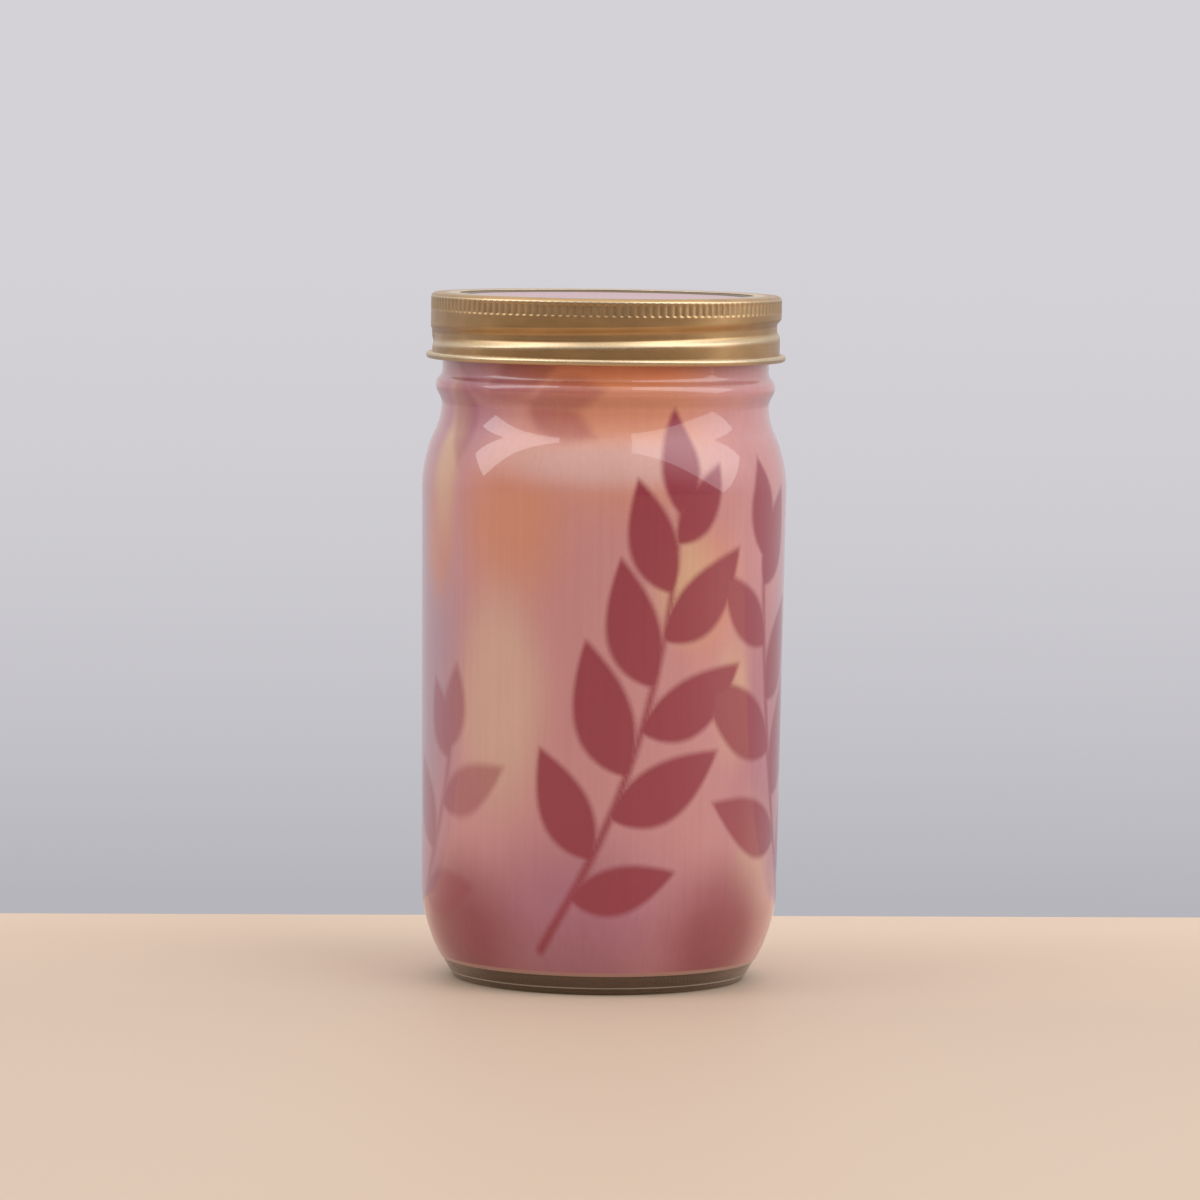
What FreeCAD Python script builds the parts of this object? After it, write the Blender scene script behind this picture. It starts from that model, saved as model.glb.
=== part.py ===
import FreeCAD, Part
import math
import os
import re
import Sketcher

# Passive hydroponic jar planter, closed as it is sold: a threaded glass jar in a printed film
# sleeve, a two-piece screw lid, and inside it the net pot with its wick and the growing kit.
# The origin is the centre of the ring that the jar stands on. +Z is up and -Y is the front.
# Lengths are in millimetres and angles in degrees. A "drop" is measured down from the glass lip
# or, for the band, from the top of the band. A "rounding" is how far a rounded corner reaches
# along each of its two sides.

os.makedirs("parts", exist_ok=True)
doc = FreeCAD.newDocument("jar_planter")

SIZES = {
    # glass jar: mouth, neck and lid thread
    "lip_height": 176.3,
    "lip_rounding": 1.2,
    "mouth_radius": 38.5,
    "finish_radius": 42.8,
    "finish_drop": 12.3,
    "neck_radius": 42.2,
    "thread_depth": 1.6,
    "thread_root_width": 3.0,
    "thread_tip_width": 1.4,
    "thread_pitch": 6.35,
    "thread_turns": 1.25,
    # glass jar: transfer bead under the band
    "bead_radius": 44.5,
    "bead_drop": 21.7,
    "bead_upper_reach": 2.6,
    "bead_lower_reach": 4.4,
    "bead_rounding": 2.0,
    "bead_root_rounding": 0.8,
    # glass jar: waist, shoulder, body and heel
    "waist_radius": 42.3,
    "waist_drop": 30.6,
    "waist_rounding": 3.6,
    "shoulder_radius": 47.25,
    "shoulder_drop": 40.7,
    "shoulder_rounding": 7.2,
    "heel_radius": 46.0,
    "heel_height": 13.8,
    "heel_rounding": 9.2,
    "foot_radius": 37.7,
    "foot_rounding": 0.4,
    "bearing_width": 3.2,
    "push_up_height": 3.6,
    "push_up_slope_width": 4.5,
    # glass jar: inside
    "floor_height": 11.5,
    "floor_rounding": 8.0,
    "lower_wall": 3.2,
    "upper_wall": 3.0,
    "inner_shoulder_rounding": 5.0,
    "mouth_flare_drop": 33.0,
    "mouth_flare_rounding": 3.5,
    # printed film sleeve
    "sleeve_clearance": 0.05,
    "film_thickness": 0.15,
    "sleeve_top_gap": 1.2,
    "sleeve_foot_height": 5.2,
    # screw band of tinplate
    "tin_thickness": 0.3,
    "thread_clearance": 0.3,
    "ridge_clearance": 1.05,
    "band_opening_radius": 38.1,
    "band_corner_rounding": 1.1,
    "band_step": 0.45,
    "band_step_drop": 12.15,
    "band_step_rise": 0.4,
    "curl_drop": 16.1,
    "curl_radius": 0.95,
    "groove_width": 2.8,
    "groove_floor_width": 1.2,
    "groove_start_drop": 10.5,
    "groove_start_azimuth": -186.0,
    "groove_turns": 0.76,
    "groove_end_turns": 0.008,
    "thread_lead": 2.2,
    "thread_early_turns": 0.72,
    "knurl_top_drop": 1.2,
    "knurl_length": 3.0,
    "knurl_depth": 0.14,
    "knurl_width": 1.1,
    "knurl_count": 144,
    # lid disc with its seal and its printed face
    "lid_snap": 0.45,
    "lid_rim_depth": 1.1,
    "lid_rim_rounding": 0.5,
    "panel_depth": 0.5,
    "panel_step_width": 0.8,
    "panel_inset": 1.1,
    "seal_thickness": 0.6,
    "seal_inset": 0.4,
    "label_thickness": 0.15,
    "label_inset": 0.5,
    # net pot of stainless sheet
    "pot_sheet": 0.5,
    "pot_clearance": 0.7,
    "pot_flange_inset": 1.0,
    "pot_collar_length": 8.0,
    "pot_depth": 60.0,
    "pot_lap_clearance": 0.05,
    "pot_turned_edge": 1.8,
    "pot_slot_width": 2.4,
    "pot_slot_length": 8.0,
    "pot_slot_pitch": 12.0,
    "pot_slot_first_rise": 10.0,
    "pot_slot_rows": 4,
    "pot_slots_round": 24,
    "pot_hole_radius": 1.5,
    "pot_hole_ring_radius": 25.0,
    "pot_holes_round": 20,
    # wick of felt
    "wick_thickness": 2.5,
    "wick_width": 20.0,
    "wick_spacing": 24.0,
    "wick_floor_gap": 3.5,
    "wick_slot_clearance": 0.3,
    # coir disc that lies in the net pot
    "coir_thickness": 14.0,
    "coir_clearance": 0.6,
    "coir_rounding": 2.0,
    # kit packed behind the wick, each piece standing on the jar's floor
    "kit_clearance": 0.3,
    "packet_width": 60.0,
    "packet_height": 84.0,
    "packet_paper": 0.25,
    "packet_depth": 2.4,
    "packet_seal": 6.0,
    "guide_width": 56.0,
    "guide_height": 80.0,
    "guide_card": 0.3,
    "guide_fold_gap": 0.6,
    "food_width": 50.0,
    "food_height": 70.0,
    "food_depth": 6.0,
    "carbon_width": 44.0,
    "carbon_height": 62.0,
    "carbon_depth": 8.0,
    "sachet_seam": 5.0,
    "sachet_edge": 0.6,
    "seed_radius": 0.9,
    "seed_spacing": 4.2,
    "seed_count": 12,
    # how far a cutting shape runs past what it cuts
    "overrun": 0.4,
}

sheet = doc.addObject("Spreadsheet::Sheet", "Sizes")
for row, (alias, number) in enumerate(SIZES.items(), start=1):
    sheet.set(f"A{row}", alias)
    sheet.set(f"B{row}", str(number))
    sheet.setAlias(f"B{row}", alias)
doc.recompute()


def bound(text):
    """The expression with each size's name pointed at the sheet."""
    return re.sub(r"[a-z][a-z_]+", lambda found: f"Sizes.{found.group()}" if found.group() in SIZES
                  else found.group(), text)


def size(text):
    """The number that an expression of sizes gives now."""
    answer = sheet.evalExpression(text)
    return float(getattr(answer, "Value", answer))


# Places that several pieces share, as expressions of the sizes
LIP = "lip_height"
FLANGE_TOP = f"({LIP} + pot_sheet)"
SEAL_TOP = f"({FLANGE_TOP} + seal_thickness)"
LID_TOP = f"({SEAL_TOP} + tin_thickness)"
BAND_TOP = f"({LID_TOP} + tin_thickness)"
THREAD_RADIUS = "(finish_radius + thread_depth)"
SKIRT_INSIDE = f"({THREAD_RADIUS} + thread_clearance)"
BAND_INSIDE = f"({SKIRT_INSIDE} + band_step)"
BAND_OUTSIDE = f"({BAND_INSIDE} + tin_thickness)"
RIDGE_INSIDE = "(finish_radius + ridge_clearance)"
LID_RADIUS = f"({RIDGE_INSIDE} + lid_snap)"
PANEL_TOP = f"({LID_TOP} - panel_depth)"
COLLAR_OUTSIDE = "(mouth_radius - pot_clearance)"
POT_OUTSIDE = f"({COLLAR_OUTSIDE} - pot_sheet - pot_lap_clearance)"
POT_INSIDE = f"({POT_OUTSIDE} - pot_sheet)"
POT_BOTTOM = f"({LIP} - pot_depth)"
POT_FLOOR = f"({POT_BOTTOM} + 2 * pot_sheet)"
KIT_FRONT = "(wick_width / 2 + kit_clearance)"


def plane_of(body, role):
    """One of the body's own origin planes."""
    return next(feature for feature in body.Origin.OriginFeatures if feature.Role == role)


def sketch_on(body, name, role, lift=None, azimuth=None):
    """A sketch on an origin plane, moved along its normal or turned about its upright axis."""
    sketch = body.newObject("Sketcher::SketchObject", name)
    sketch.AttachmentSupport = [(plane_of(body, role), "")]
    sketch.MapMode = "FlatFace"
    if lift is not None:
        sketch.setExpression("AttachmentOffset.Base.z", bound(lift))
    if azimuth is not None:
        upright = FreeCAD.Rotation(FreeCAD.Vector(0, 1, 0), size(azimuth))
        sketch.AttachmentOffset = FreeCAD.Placement(FreeCAD.Vector(), upright)
        sketch.setExpression("AttachmentOffset.Rotation.Angle", bound(azimuth))
    return sketch


def tie(sketch, constraint, text):
    """Add a constraint whose value is an expression of the sizes."""
    index = sketch.addConstraint(constraint)
    sketch.setExpression(f"Constraints[{index}]", bound(text))


def place_point(sketch, geometry, position, across, up):
    """Fix a point of the sketch at two expressions from its origin."""
    tie(sketch, Sketcher.Constraint("DistanceX", -1, 1, geometry, position, size(across)), across)
    tie(sketch, Sketcher.Constraint("DistanceY", -1, 1, geometry, position, size(up)), up)


def rounded_corner(before, corner, after, reach):
    """Where an arc with this reach meets the two sides of a corner, and the arc's centre."""
    to_before = (before - corner).normalize()
    to_after = (after - corner).normalize()
    half_angle = to_before.getAngle(to_after) / 2
    middle = (to_before + to_after).normalize()
    centre = corner + middle * (reach / math.cos(half_angle))
    return corner + to_before * reach, corner + to_after * reach, centre


def outline(sketch, corners):
    """Draw a closed outline; a corner is (across, up) or (across, up, rounding)."""
    points = [FreeCAD.Vector(size(corner[0]), size(corner[1]), 0) for corner in corners]
    count = len(points)
    starts = list(points)
    ends = list(points)
    centres = {}
    for index, corner in enumerate(corners):
        if len(corner) == 3:
            ends[index], starts[index], centres[index] = rounded_corner(
                points[index - 1], points[index], points[(index + 1) % count], size(corner[2]))
    first = sketch.GeometryCount
    sides = [Part.LineSegment(starts[i], ends[(i + 1) % count]) for i in range(count)]
    sketch.addGeometry(sides, False)
    for index, corner in enumerate(corners):
        side_before = first + (index - 1) % count
        side_after = first + index
        if index not in centres:
            sketch.addConstraint(Sketcher.Constraint("Coincident", side_before, 2, side_after, 1))
            place_point(sketch, side_after, 1, corner[0], corner[1])
            continue
        centre = centres[index]
        angle_in = math.atan2(ends[index].y - centre.y, ends[index].x - centre.x)
        angle_out = math.atan2(starts[index].y - centre.y, starts[index].x - centre.x)
        turns_left = math.sin(angle_out - angle_in) > 0
        start_angle, end_angle = (angle_in, angle_out) if turns_left else (angle_out, angle_in)
        radius = centre.distanceToPoint(starts[index])
        circle = Part.Circle(centre, FreeCAD.Vector(0, 0, 1), radius)
        arc = sketch.addGeometry(Part.ArcOfCircle(circle, start_angle, end_angle), False)
        arc_in, arc_out = (1, 2) if turns_left else (2, 1)
        sketch.addConstraint(Sketcher.Constraint("Tangent", side_before, 2, arc, arc_in))
        sketch.addConstraint(Sketcher.Constraint("Tangent", arc, arc_out, side_after, 1))
        vertex = sketch.addGeometry(Part.Point(points[index]), True)
        sketch.addConstraint(Sketcher.Constraint("PointOnObject", vertex, 1, side_before))
        sketch.addConstraint(Sketcher.Constraint("PointOnObject", vertex, 1, side_after))
        place_point(sketch, vertex, 1, corner[0], corner[1])
        reach = Sketcher.Constraint("Distance", vertex, 1, arc, arc_in, size(corner[2]))
        tie(sketch, reach, corner[2])
    return sketch


def rectangle(sketch, left, right, bottom, top):
    """Draw a rectangle between four expressions."""
    return outline(sketch, [(left, bottom), (right, bottom), (right, top), (left, top)])


def circle_at(sketch, across, up, radius):
    """Draw a circle whose centre and radius are expressions."""
    centre = FreeCAD.Vector(size(across), size(up), 0)
    index = sketch.addGeometry(Part.Circle(centre, FreeCAD.Vector(0, 0, 1), size(radius)), False)
    place_point(sketch, index, 3, across, up)
    tie(sketch, Sketcher.Constraint("Radius", index, size(radius)), radius)
    return sketch


def new_body(name):
    """A sub-part, labelled with the name of its node."""
    body = doc.addObject("PartDesign::Body", name)
    body.Label = name
    return body


def revolve(body, sketch, name):
    """Turn a sketch once round the upright axis."""
    feature = body.newObject("PartDesign::Revolution", name)
    feature.Profile = sketch
    feature.ReferenceAxis = (sketch, ["V_Axis"])
    feature.Angle = 360
    doc.recompute()
    return feature


def pad(body, sketch, name, length):
    """Raise a sketch along its normal by an expression."""
    feature = body.newObject("PartDesign::Pad", name)
    feature.Profile = sketch
    feature.setExpression("Length", bound(length))
    doc.recompute()
    return feature


def pocket(body, sketch, name, length, reversed_way=False):
    """Cut a sketch into the body by an expression, and make sure that it cut something."""
    before = body.Shape.Volume
    feature = body.newObject("PartDesign::Pocket", name)
    feature.Profile = sketch
    feature.Reversed = reversed_way
    feature.setExpression("Length", bound(length))
    doc.recompute()
    if not feature.Shape.Volume < before:
        raise RuntimeError(f"{name} cuts nothing")
    return feature


def helix(body, kind, sketch, name, turns):
    """Carry a sketch up the thread's helix."""
    feature = body.newObject(kind, name)
    feature.Profile = sketch
    feature.ReferenceAxis = (sketch, ["V_Axis"])
    feature.Mode = "pitch-turns-angle"
    feature.setExpression("Pitch", bound("thread_pitch"))
    feature.setExpression("Turns", bound(turns))
    doc.recompute()
    return feature


def ring_pattern(body, feature, name, count):
    """Repeat a feature evenly round the upright axis."""
    pattern = body.newObject("PartDesign::PolarPattern", name)
    pattern.Originals = [feature]
    axis = next(item for item in body.Origin.OriginFeatures if item.Role == "Z_Axis")
    pattern.Axis = (axis, [""])
    pattern.Angle = 360
    pattern.setExpression("Occurrences", bound(count))
    body.Tip = pattern
    doc.recompute()
    return pattern


def jar_outside(offset, heel_rounding="heel_rounding"):
    """Corners of the jar's outside from the neck down to the foot, moved out by an offset."""
    return [
        (f"neck_radius + {offset}", f"{LIP} - bead_drop + bead_upper_reach", "bead_root_rounding"),
        (f"bead_radius + {offset}", f"{LIP} - bead_drop", "bead_rounding"),
        (f"waist_radius + {offset}", f"{LIP} - bead_drop - bead_lower_reach", "bead_root_rounding"),
        (f"waist_radius + {offset}", f"{LIP} - waist_drop", "waist_rounding"),
        (f"shoulder_radius + {offset}", f"{LIP} - shoulder_drop", "shoulder_rounding"),
        (f"heel_radius + {offset}", "heel_height", heel_rounding),
    ]


def glass_jar():
    """Pressed glass: one turned section with a foot ring, and the raised thread on its finish."""
    body = new_body("glass_jar")
    section = sketch_on(body, "jar_section", "XZ_Plane")
    outside = [
        ("mouth_radius", LIP, "lip_rounding"),
        ("finish_radius", LIP, "lip_rounding"),
        ("finish_radius", f"{LIP} - finish_drop"),
        ("neck_radius", f"{LIP} - finish_drop"),
    ] + jar_outside("0")
    foot = [
        ("foot_radius", "0", "foot_rounding"),
        ("foot_radius - bearing_width", "0", "foot_rounding"),
        ("foot_radius - bearing_width - push_up_slope_width", "push_up_height"),
        ("0", "push_up_height"),
    ]
    inside = [
        ("0", "floor_height"),
        ("heel_radius - lower_wall", "floor_height", "floor_rounding"),
        ("shoulder_radius - upper_wall", f"{LIP} - shoulder_drop - upper_wall", "inner_shoulder_rounding"),
        ("mouth_radius", f"{LIP} - mouth_flare_drop", "mouth_flare_rounding"),
    ]
    outline(section, outside + foot + inside)
    revolve(body, section, "jar_turned")
    start_azimuth = "groove_start_azimuth - 360 * thread_early_turns"
    start_height = (f"{BAND_TOP} - groove_start_drop + thread_lead"
                    " - thread_pitch * thread_early_turns")
    thread = sketch_on(body, "jar_thread_section", "XZ_Plane", azimuth=start_azimuth)
    outline(thread, [
        ("finish_radius - overrun", f"{start_height} - thread_root_width / 2"),
        ("finish_radius", f"{start_height} - thread_root_width / 2"),
        (THREAD_RADIUS, f"{start_height} - thread_tip_width / 2"),
        (THREAD_RADIUS, f"{start_height} + thread_tip_width / 2"),
        ("finish_radius", f"{start_height} + thread_root_width / 2"),
        ("finish_radius - overrun", f"{start_height} + thread_root_width / 2"),
    ])
    helix(body, "PartDesign::AdditiveHelix", thread, "jar_thread", "thread_turns")
    return body


def print_sleeve():
    """Shrunk film that follows the glass from under the band to just above the foot."""
    body = new_body("print_sleeve")
    inner = "sleeve_clearance"
    outer = "(sleeve_clearance + film_thickness)"
    top = f"{LIP} - finish_drop - sleeve_top_gap"
    foot_share = "(sleeve_foot_height / heel_height)"
    foot_radius = f"foot_radius + (heel_radius - foot_radius) * {foot_share}"
    # The heel is rounded only as far as the film runs below it
    slope = "sqrt(heel_height ^ 2 + (heel_radius - foot_radius) ^ 2)"
    heel_rounding = f"min(heel_rounding; (1 - {foot_share}) * {slope} - film_thickness)"
    section = sketch_on(body, "sleeve_section", "XZ_Plane")
    outline(section, [(f"neck_radius + {outer}", top)] + jar_outside(outer, heel_rounding)
            + [(f"{foot_radius} + {outer}", "sleeve_foot_height"),
               (f"{foot_radius} + {inner}", "sleeve_foot_height")]
            + jar_outside(inner, heel_rounding)[::-1] + [(f"neck_radius + {inner}", top)])
    revolve(body, section, "sleeve_turned")
    return body


def screw_band():
    """Rolled tinplate ring: flange, knurled wall with a thread groove, step, skirt and curl."""
    body = new_body("screw_band")
    skirt_outside = f"({SKIRT_INSIDE} + tin_thickness)"
    curl_centre = f"({SKIRT_INSIDE} + curl_radius)"
    curl_height = f"({BAND_TOP} - curl_drop)"
    step_top = f"({BAND_TOP} - band_step_drop)"
    step_bottom = f"({BAND_TOP} - band_step_drop - band_step_rise)"
    wall = sketch_on(body, "band_section", "XZ_Plane")
    outline(wall, [
        ("band_opening_radius", BAND_TOP),
        (BAND_OUTSIDE, BAND_TOP, "band_corner_rounding"),
        (BAND_OUTSIDE, step_top),
        (skirt_outside, step_bottom),
        (skirt_outside, curl_height),
        (SKIRT_INSIDE, curl_height),
        (SKIRT_INSIDE, step_bottom),
        (BAND_INSIDE, step_top),
        (BAND_INSIDE, f"{BAND_TOP} - tin_thickness", "band_corner_rounding - tin_thickness"),
        ("band_opening_radius", f"{BAND_TOP} - tin_thickness"),
    ])
    revolve(body, wall, "band_turned")
    knurl = sketch_on(body, "band_knurl_section", "XY_Plane", lift=f"{BAND_TOP} - knurl_top_drop")
    outline(knurl, [
        (f"{BAND_OUTSIDE} - knurl_depth", "0"),
        (f"{BAND_OUTSIDE} + overrun", "0 - knurl_width / 2"),
        (f"{BAND_OUTSIDE} + overrun", "knurl_width / 2"),
    ])
    cut = pocket(body, knurl, "band_knurl", "knurl_length")
    ring_pattern(body, cut, "band_knurls", "knurl_count")
    curl = sketch_on(body, "band_curl_section", "XZ_Plane")
    centre = FreeCAD.Vector(size(curl_centre), size(curl_height), 0)
    arcs = []
    for radius in ("curl_radius", "curl_radius - tin_thickness"):
        ring = Part.Circle(centre, FreeCAD.Vector(0, 0, 1), size(radius))
        arc = curl.addGeometry(Part.ArcOfCircle(ring, math.radians(180), math.radians(450)), False)
        place_point(curl, arc, 3, curl_centre, curl_height)
        tie(curl, Sketcher.Constraint("Radius", arc, size(radius)), radius)
        tie(curl, Sketcher.Constraint("DistanceY", -1, 1, arc, 1, size(curl_height)), curl_height)
        tie(curl, Sketcher.Constraint("DistanceX", -1, 1, arc, 2, size(curl_centre)), curl_centre)
        arcs.append(arc)
    for position in (1, 2):
        ends = [curl.Geometry[arc].StartPoint if position == 1 else curl.Geometry[arc].EndPoint
                for arc in arcs]
        side = curl.addGeometry(Part.LineSegment(ends[0], ends[1]), False)
        curl.addConstraint(Sketcher.Constraint("Coincident", side, 1, arcs[0], position))
        curl.addConstraint(Sketcher.Constraint("Coincident", side, 2, arcs[1], position))
    revolve(body, curl, "band_curl")
    groove_height = f"({BAND_TOP} - groove_start_drop)"
    ridge = sketch_on(body, "band_ridge_section", "XZ_Plane", azimuth="groove_start_azimuth")
    flank = "(groove_width - groove_floor_width) / 2"
    tip_half = "(groove_floor_width / 2 + tin_thickness * 2 / 3)"
    root_half = f"({tip_half} + {flank})"
    outline(ridge, [
        (RIDGE_INSIDE, f"{groove_height} - {tip_half}"),
        (BAND_INSIDE, f"{groove_height} - {root_half}"),
        (f"{BAND_INSIDE} + tin_thickness / 2", f"{groove_height} - {root_half}"),
        (f"{BAND_INSIDE} + tin_thickness / 2", f"{groove_height} + {root_half}"),
        (BAND_INSIDE, f"{groove_height} + {root_half}"),
        (RIDGE_INSIDE, f"{groove_height} + {tip_half}"),
    ])
    helix(body, "PartDesign::AdditiveHelix", ridge, "band_ridge", "groove_turns")
    cut_azimuth = "groove_start_azimuth + 360 * groove_end_turns"
    cut_height = f"({groove_height} + thread_pitch * groove_end_turns)"
    groove = sketch_on(body, "band_groove_section", "XZ_Plane", azimuth=cut_azimuth)
    outline(groove, [
        (f"{RIDGE_INSIDE} + tin_thickness", f"{cut_height} - groove_floor_width / 2"),
        (BAND_OUTSIDE, f"{cut_height} - groove_width / 2"),
        (f"{BAND_OUTSIDE} + overrun", f"{cut_height} - groove_width / 2"),
        (f"{BAND_OUTSIDE} + overrun", f"{cut_height} + groove_width / 2"),
        (BAND_OUTSIDE, f"{cut_height} + groove_width / 2"),
        (f"{RIDGE_INSIDE} + tin_thickness", f"{cut_height} + groove_floor_width / 2"),
    ])
    helix(body, "PartDesign::SubtractiveHelix", groove, "band_groove",
          "groove_turns - 2 * groove_end_turns")
    return body


def lid_disc():
    """Flat tinplate lid: a rim turned down over the seal and a sunk centre panel."""
    body = new_body("lid_disc")
    panel_radius = "(band_opening_radius - panel_inset - panel_step_width)"
    rim_bottom = f"({LID_TOP} - lid_rim_depth)"
    section = sketch_on(body, "lid_section", "XZ_Plane")
    outline(section, [
        ("0", PANEL_TOP),
        (panel_radius, PANEL_TOP),
        (f"{panel_radius} + panel_step_width", LID_TOP),
        (LID_RADIUS, LID_TOP, "lid_rim_rounding"),
        (LID_RADIUS, rim_bottom),
        (f"{LID_RADIUS} - tin_thickness", rim_bottom),
        (f"{LID_RADIUS} - tin_thickness", SEAL_TOP),
        (f"{panel_radius} + panel_step_width", SEAL_TOP),
        (panel_radius, f"{PANEL_TOP} - tin_thickness"),
        ("0", f"{PANEL_TOP} - tin_thickness"),
    ])
    revolve(body, section, "lid_turned")
    return body


def lid_seal():
    """Ring of sealing compound under the lid's rim, pressed on the net pot's flange."""
    body = new_body("lid_seal")
    section = sketch_on(body, "seal_section", "XZ_Plane")
    rectangle(section, "mouth_radius + seal_inset", "finish_radius - seal_inset", FLANGE_TOP, SEAL_TOP)
    revolve(body, section, "seal_turned")
    return body


def lid_label():
    """Printed paper face on the lid's sunk panel."""
    body = new_body("lid_label")
    face = sketch_on(body, "label_face", "XY_Plane", lift=PANEL_TOP)
    circle_at(face, "0", "0", "band_opening_radius - panel_inset - panel_step_width - label_inset")
    pad(body, face, "label_disc", "label_thickness")
    return body


def pot_rim():
    """Spun steel flange that hangs the net pot on the glass lip, with its collar."""
    body = new_body("pot_rim")
    section = sketch_on(body, "rim_section", "XZ_Plane")
    collar_bottom = f"{LIP} - pot_collar_length"
    outline(section, [
        (f"{COLLAR_OUTSIDE} - pot_sheet", FLANGE_TOP),
        ("finish_radius - pot_flange_inset", FLANGE_TOP),
        ("finish_radius - pot_flange_inset", LIP),
        (COLLAR_OUTSIDE, LIP),
        (COLLAR_OUTSIDE, collar_bottom),
        (f"{COLLAR_OUTSIDE} - pot_sheet", collar_bottom),
    ])
    revolve(body, section, "rim_turned")
    return body


def pot_wall():
    """Slotted steel tube, spot welded inside the collar, with its lower edge turned in."""
    body = new_body("pot_wall")
    section = sketch_on(body, "wall_section", "XZ_Plane")
    outline(section, [
        (POT_INSIDE, LIP),
        (POT_OUTSIDE, LIP),
        (POT_OUTSIDE, POT_BOTTOM),
        (f"{POT_INSIDE} - pot_turned_edge", POT_BOTTOM),
        (f"{POT_INSIDE} - pot_turned_edge", f"{POT_BOTTOM} + pot_sheet"),
        (POT_INSIDE, f"{POT_BOTTOM} + pot_sheet"),
    ])
    revolve(body, section, "wall_turned")
    slots = sketch_on(body, "wall_slots", "XZ_Plane")
    for row in range(int(SIZES["pot_slot_rows"])):
        rise = f"{POT_BOTTOM} + pot_slot_first_rise + {row} * pot_slot_pitch"
        rectangle(slots, "0 - pot_slot_width / 2", "pot_slot_width / 2",
                  f"{rise} - pot_slot_length / 2", f"{rise} + pot_slot_length / 2")
    cut = pocket(body, slots, "wall_slot_column", f"{POT_OUTSIDE} + overrun")
    ring_pattern(body, cut, "wall_slot_ring", "pot_slots_round")
    return body


def pot_base():
    """Round steel floor that rests on the wall's turned edge, holed, with two wick slots."""
    body = new_body("pot_base")
    face = sketch_on(body, "base_face", "XY_Plane", lift=f"{POT_BOTTOM} + pot_sheet")
    circle_at(face, "0", "0", f"{POT_INSIDE} - pot_lap_clearance")
    for side in ("0 - ", ""):
        middle = f"({side}wick_spacing / 2)"
        half_gap = "(wick_thickness / 2 + wick_slot_clearance)"
        half_slot = "(wick_width / 2 + wick_slot_clearance)"
        rectangle(face, f"{middle} - {half_gap}", f"{middle} + {half_gap}",
                  f"0 - {half_slot}", half_slot)
    pad(body, face, "base_disc", "pot_sheet")
    holes = sketch_on(body, "base_holes", "XY_Plane", lift=f"{POT_BOTTOM} + pot_sheet")
    circle_at(holes, "pot_hole_ring_radius", "0", "pot_hole_radius")
    cut = pocket(body, holes, "base_hole", "pot_sheet + overrun", reversed_way=True)
    ring_pattern(body, cut, "base_hole_ring", "pot_holes_round")
    return body


def wick():
    """One strip of felt over the pot's floor, its two tails hanging through the slots."""
    body = new_body("wick")
    section = sketch_on(body, "wick_section", "XZ_Plane", lift="0 - wick_width / 2")
    outer = "(wick_spacing / 2 + wick_thickness / 2)"
    inner = "(wick_spacing / 2 - wick_thickness / 2)"
    tail_end = "floor_height + wick_floor_gap"
    outline(section, [
        (f"0 - {outer}", tail_end),
        (f"0 - {inner}", tail_end),
        (f"0 - {inner}", POT_FLOOR),
        (inner, POT_FLOOR),
        (inner, tail_end),
        (outer, tail_end),
        (outer, f"{POT_FLOOR} + wick_thickness", "wick_thickness / 2"),
        (f"0 - {outer}", f"{POT_FLOOR} + wick_thickness", "wick_thickness / 2"),
    ])
    pad(body, section, "wick_strip", "wick_width")
    return body


def coir_disc():
    """Pressed disc of coir pith that rests on the wick in the net pot."""
    body = new_body("coir_disc")
    section = sketch_on(body, "coir_section", "XZ_Plane")
    bottom = f"{POT_FLOOR} + wick_thickness"
    edge = f"{POT_INSIDE} - coir_clearance"
    outline(section, [
        ("0", bottom),
        (edge, bottom, "coir_rounding"),
        (edge, f"{bottom} + coir_thickness", "coir_rounding"),
        ("0", f"{bottom} + coir_thickness"),
    ])
    revolve(body, section, "coir_turned")
    return body


def upright_sheet(name, width, height, depth, front):
    """A flat piece that stands on the jar's floor across the front-back axis."""
    body = new_body(name)
    face = sketch_on(body, f"{name}_plan", "XY_Plane", lift="floor_height")
    rectangle(face, f"0 - {width} / 2", f"{width} / 2", front, f"{front} + {depth}")
    pad(body, face, f"{name}_block", height)
    return body


def seed_packet():
    """Paper packet, glued all round, with a narrow hollow for the seeds."""
    body = upright_sheet("seed_packet", "packet_width", "packet_height", "packet_depth", KIT_FRONT)
    hollow = sketch_on(body, "packet_hollow", "XY_Plane", lift="floor_height + packet_height")
    rectangle(hollow, "packet_seal - packet_width / 2", "packet_width / 2 - packet_seal",
              f"{KIT_FRONT} + packet_paper", f"{KIT_FRONT} + packet_depth - packet_paper")
    pocket(body, hollow, "packet_inside", "packet_height - packet_seal")
    return body


def seeds():
    """A row of round seeds at the bottom of the packet's hollow, as one group of solids."""
    grains = []
    for index in range(int(SIZES["seed_count"])):
        grain = doc.addObject("Part::Sphere", f"seed_{index + 1:02d}")
        grain.setExpression("Radius", bound("seed_radius"))
        shift = index - (SIZES["seed_count"] - 1) / 2
        grain.setExpression("Placement.Base.x", bound(f"{shift} * seed_spacing"))
        grain.setExpression("Placement.Base.y", bound(f"{KIT_FRONT} + packet_depth / 2"))
        grain.setExpression("Placement.Base.z", bound("floor_height + packet_seal + seed_radius"))
        grains.append(grain)
    group = doc.addObject("Part::Compound", "seeds")
    group.Label = "seeds"
    group.Links = grains
    doc.recompute()
    return group


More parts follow.
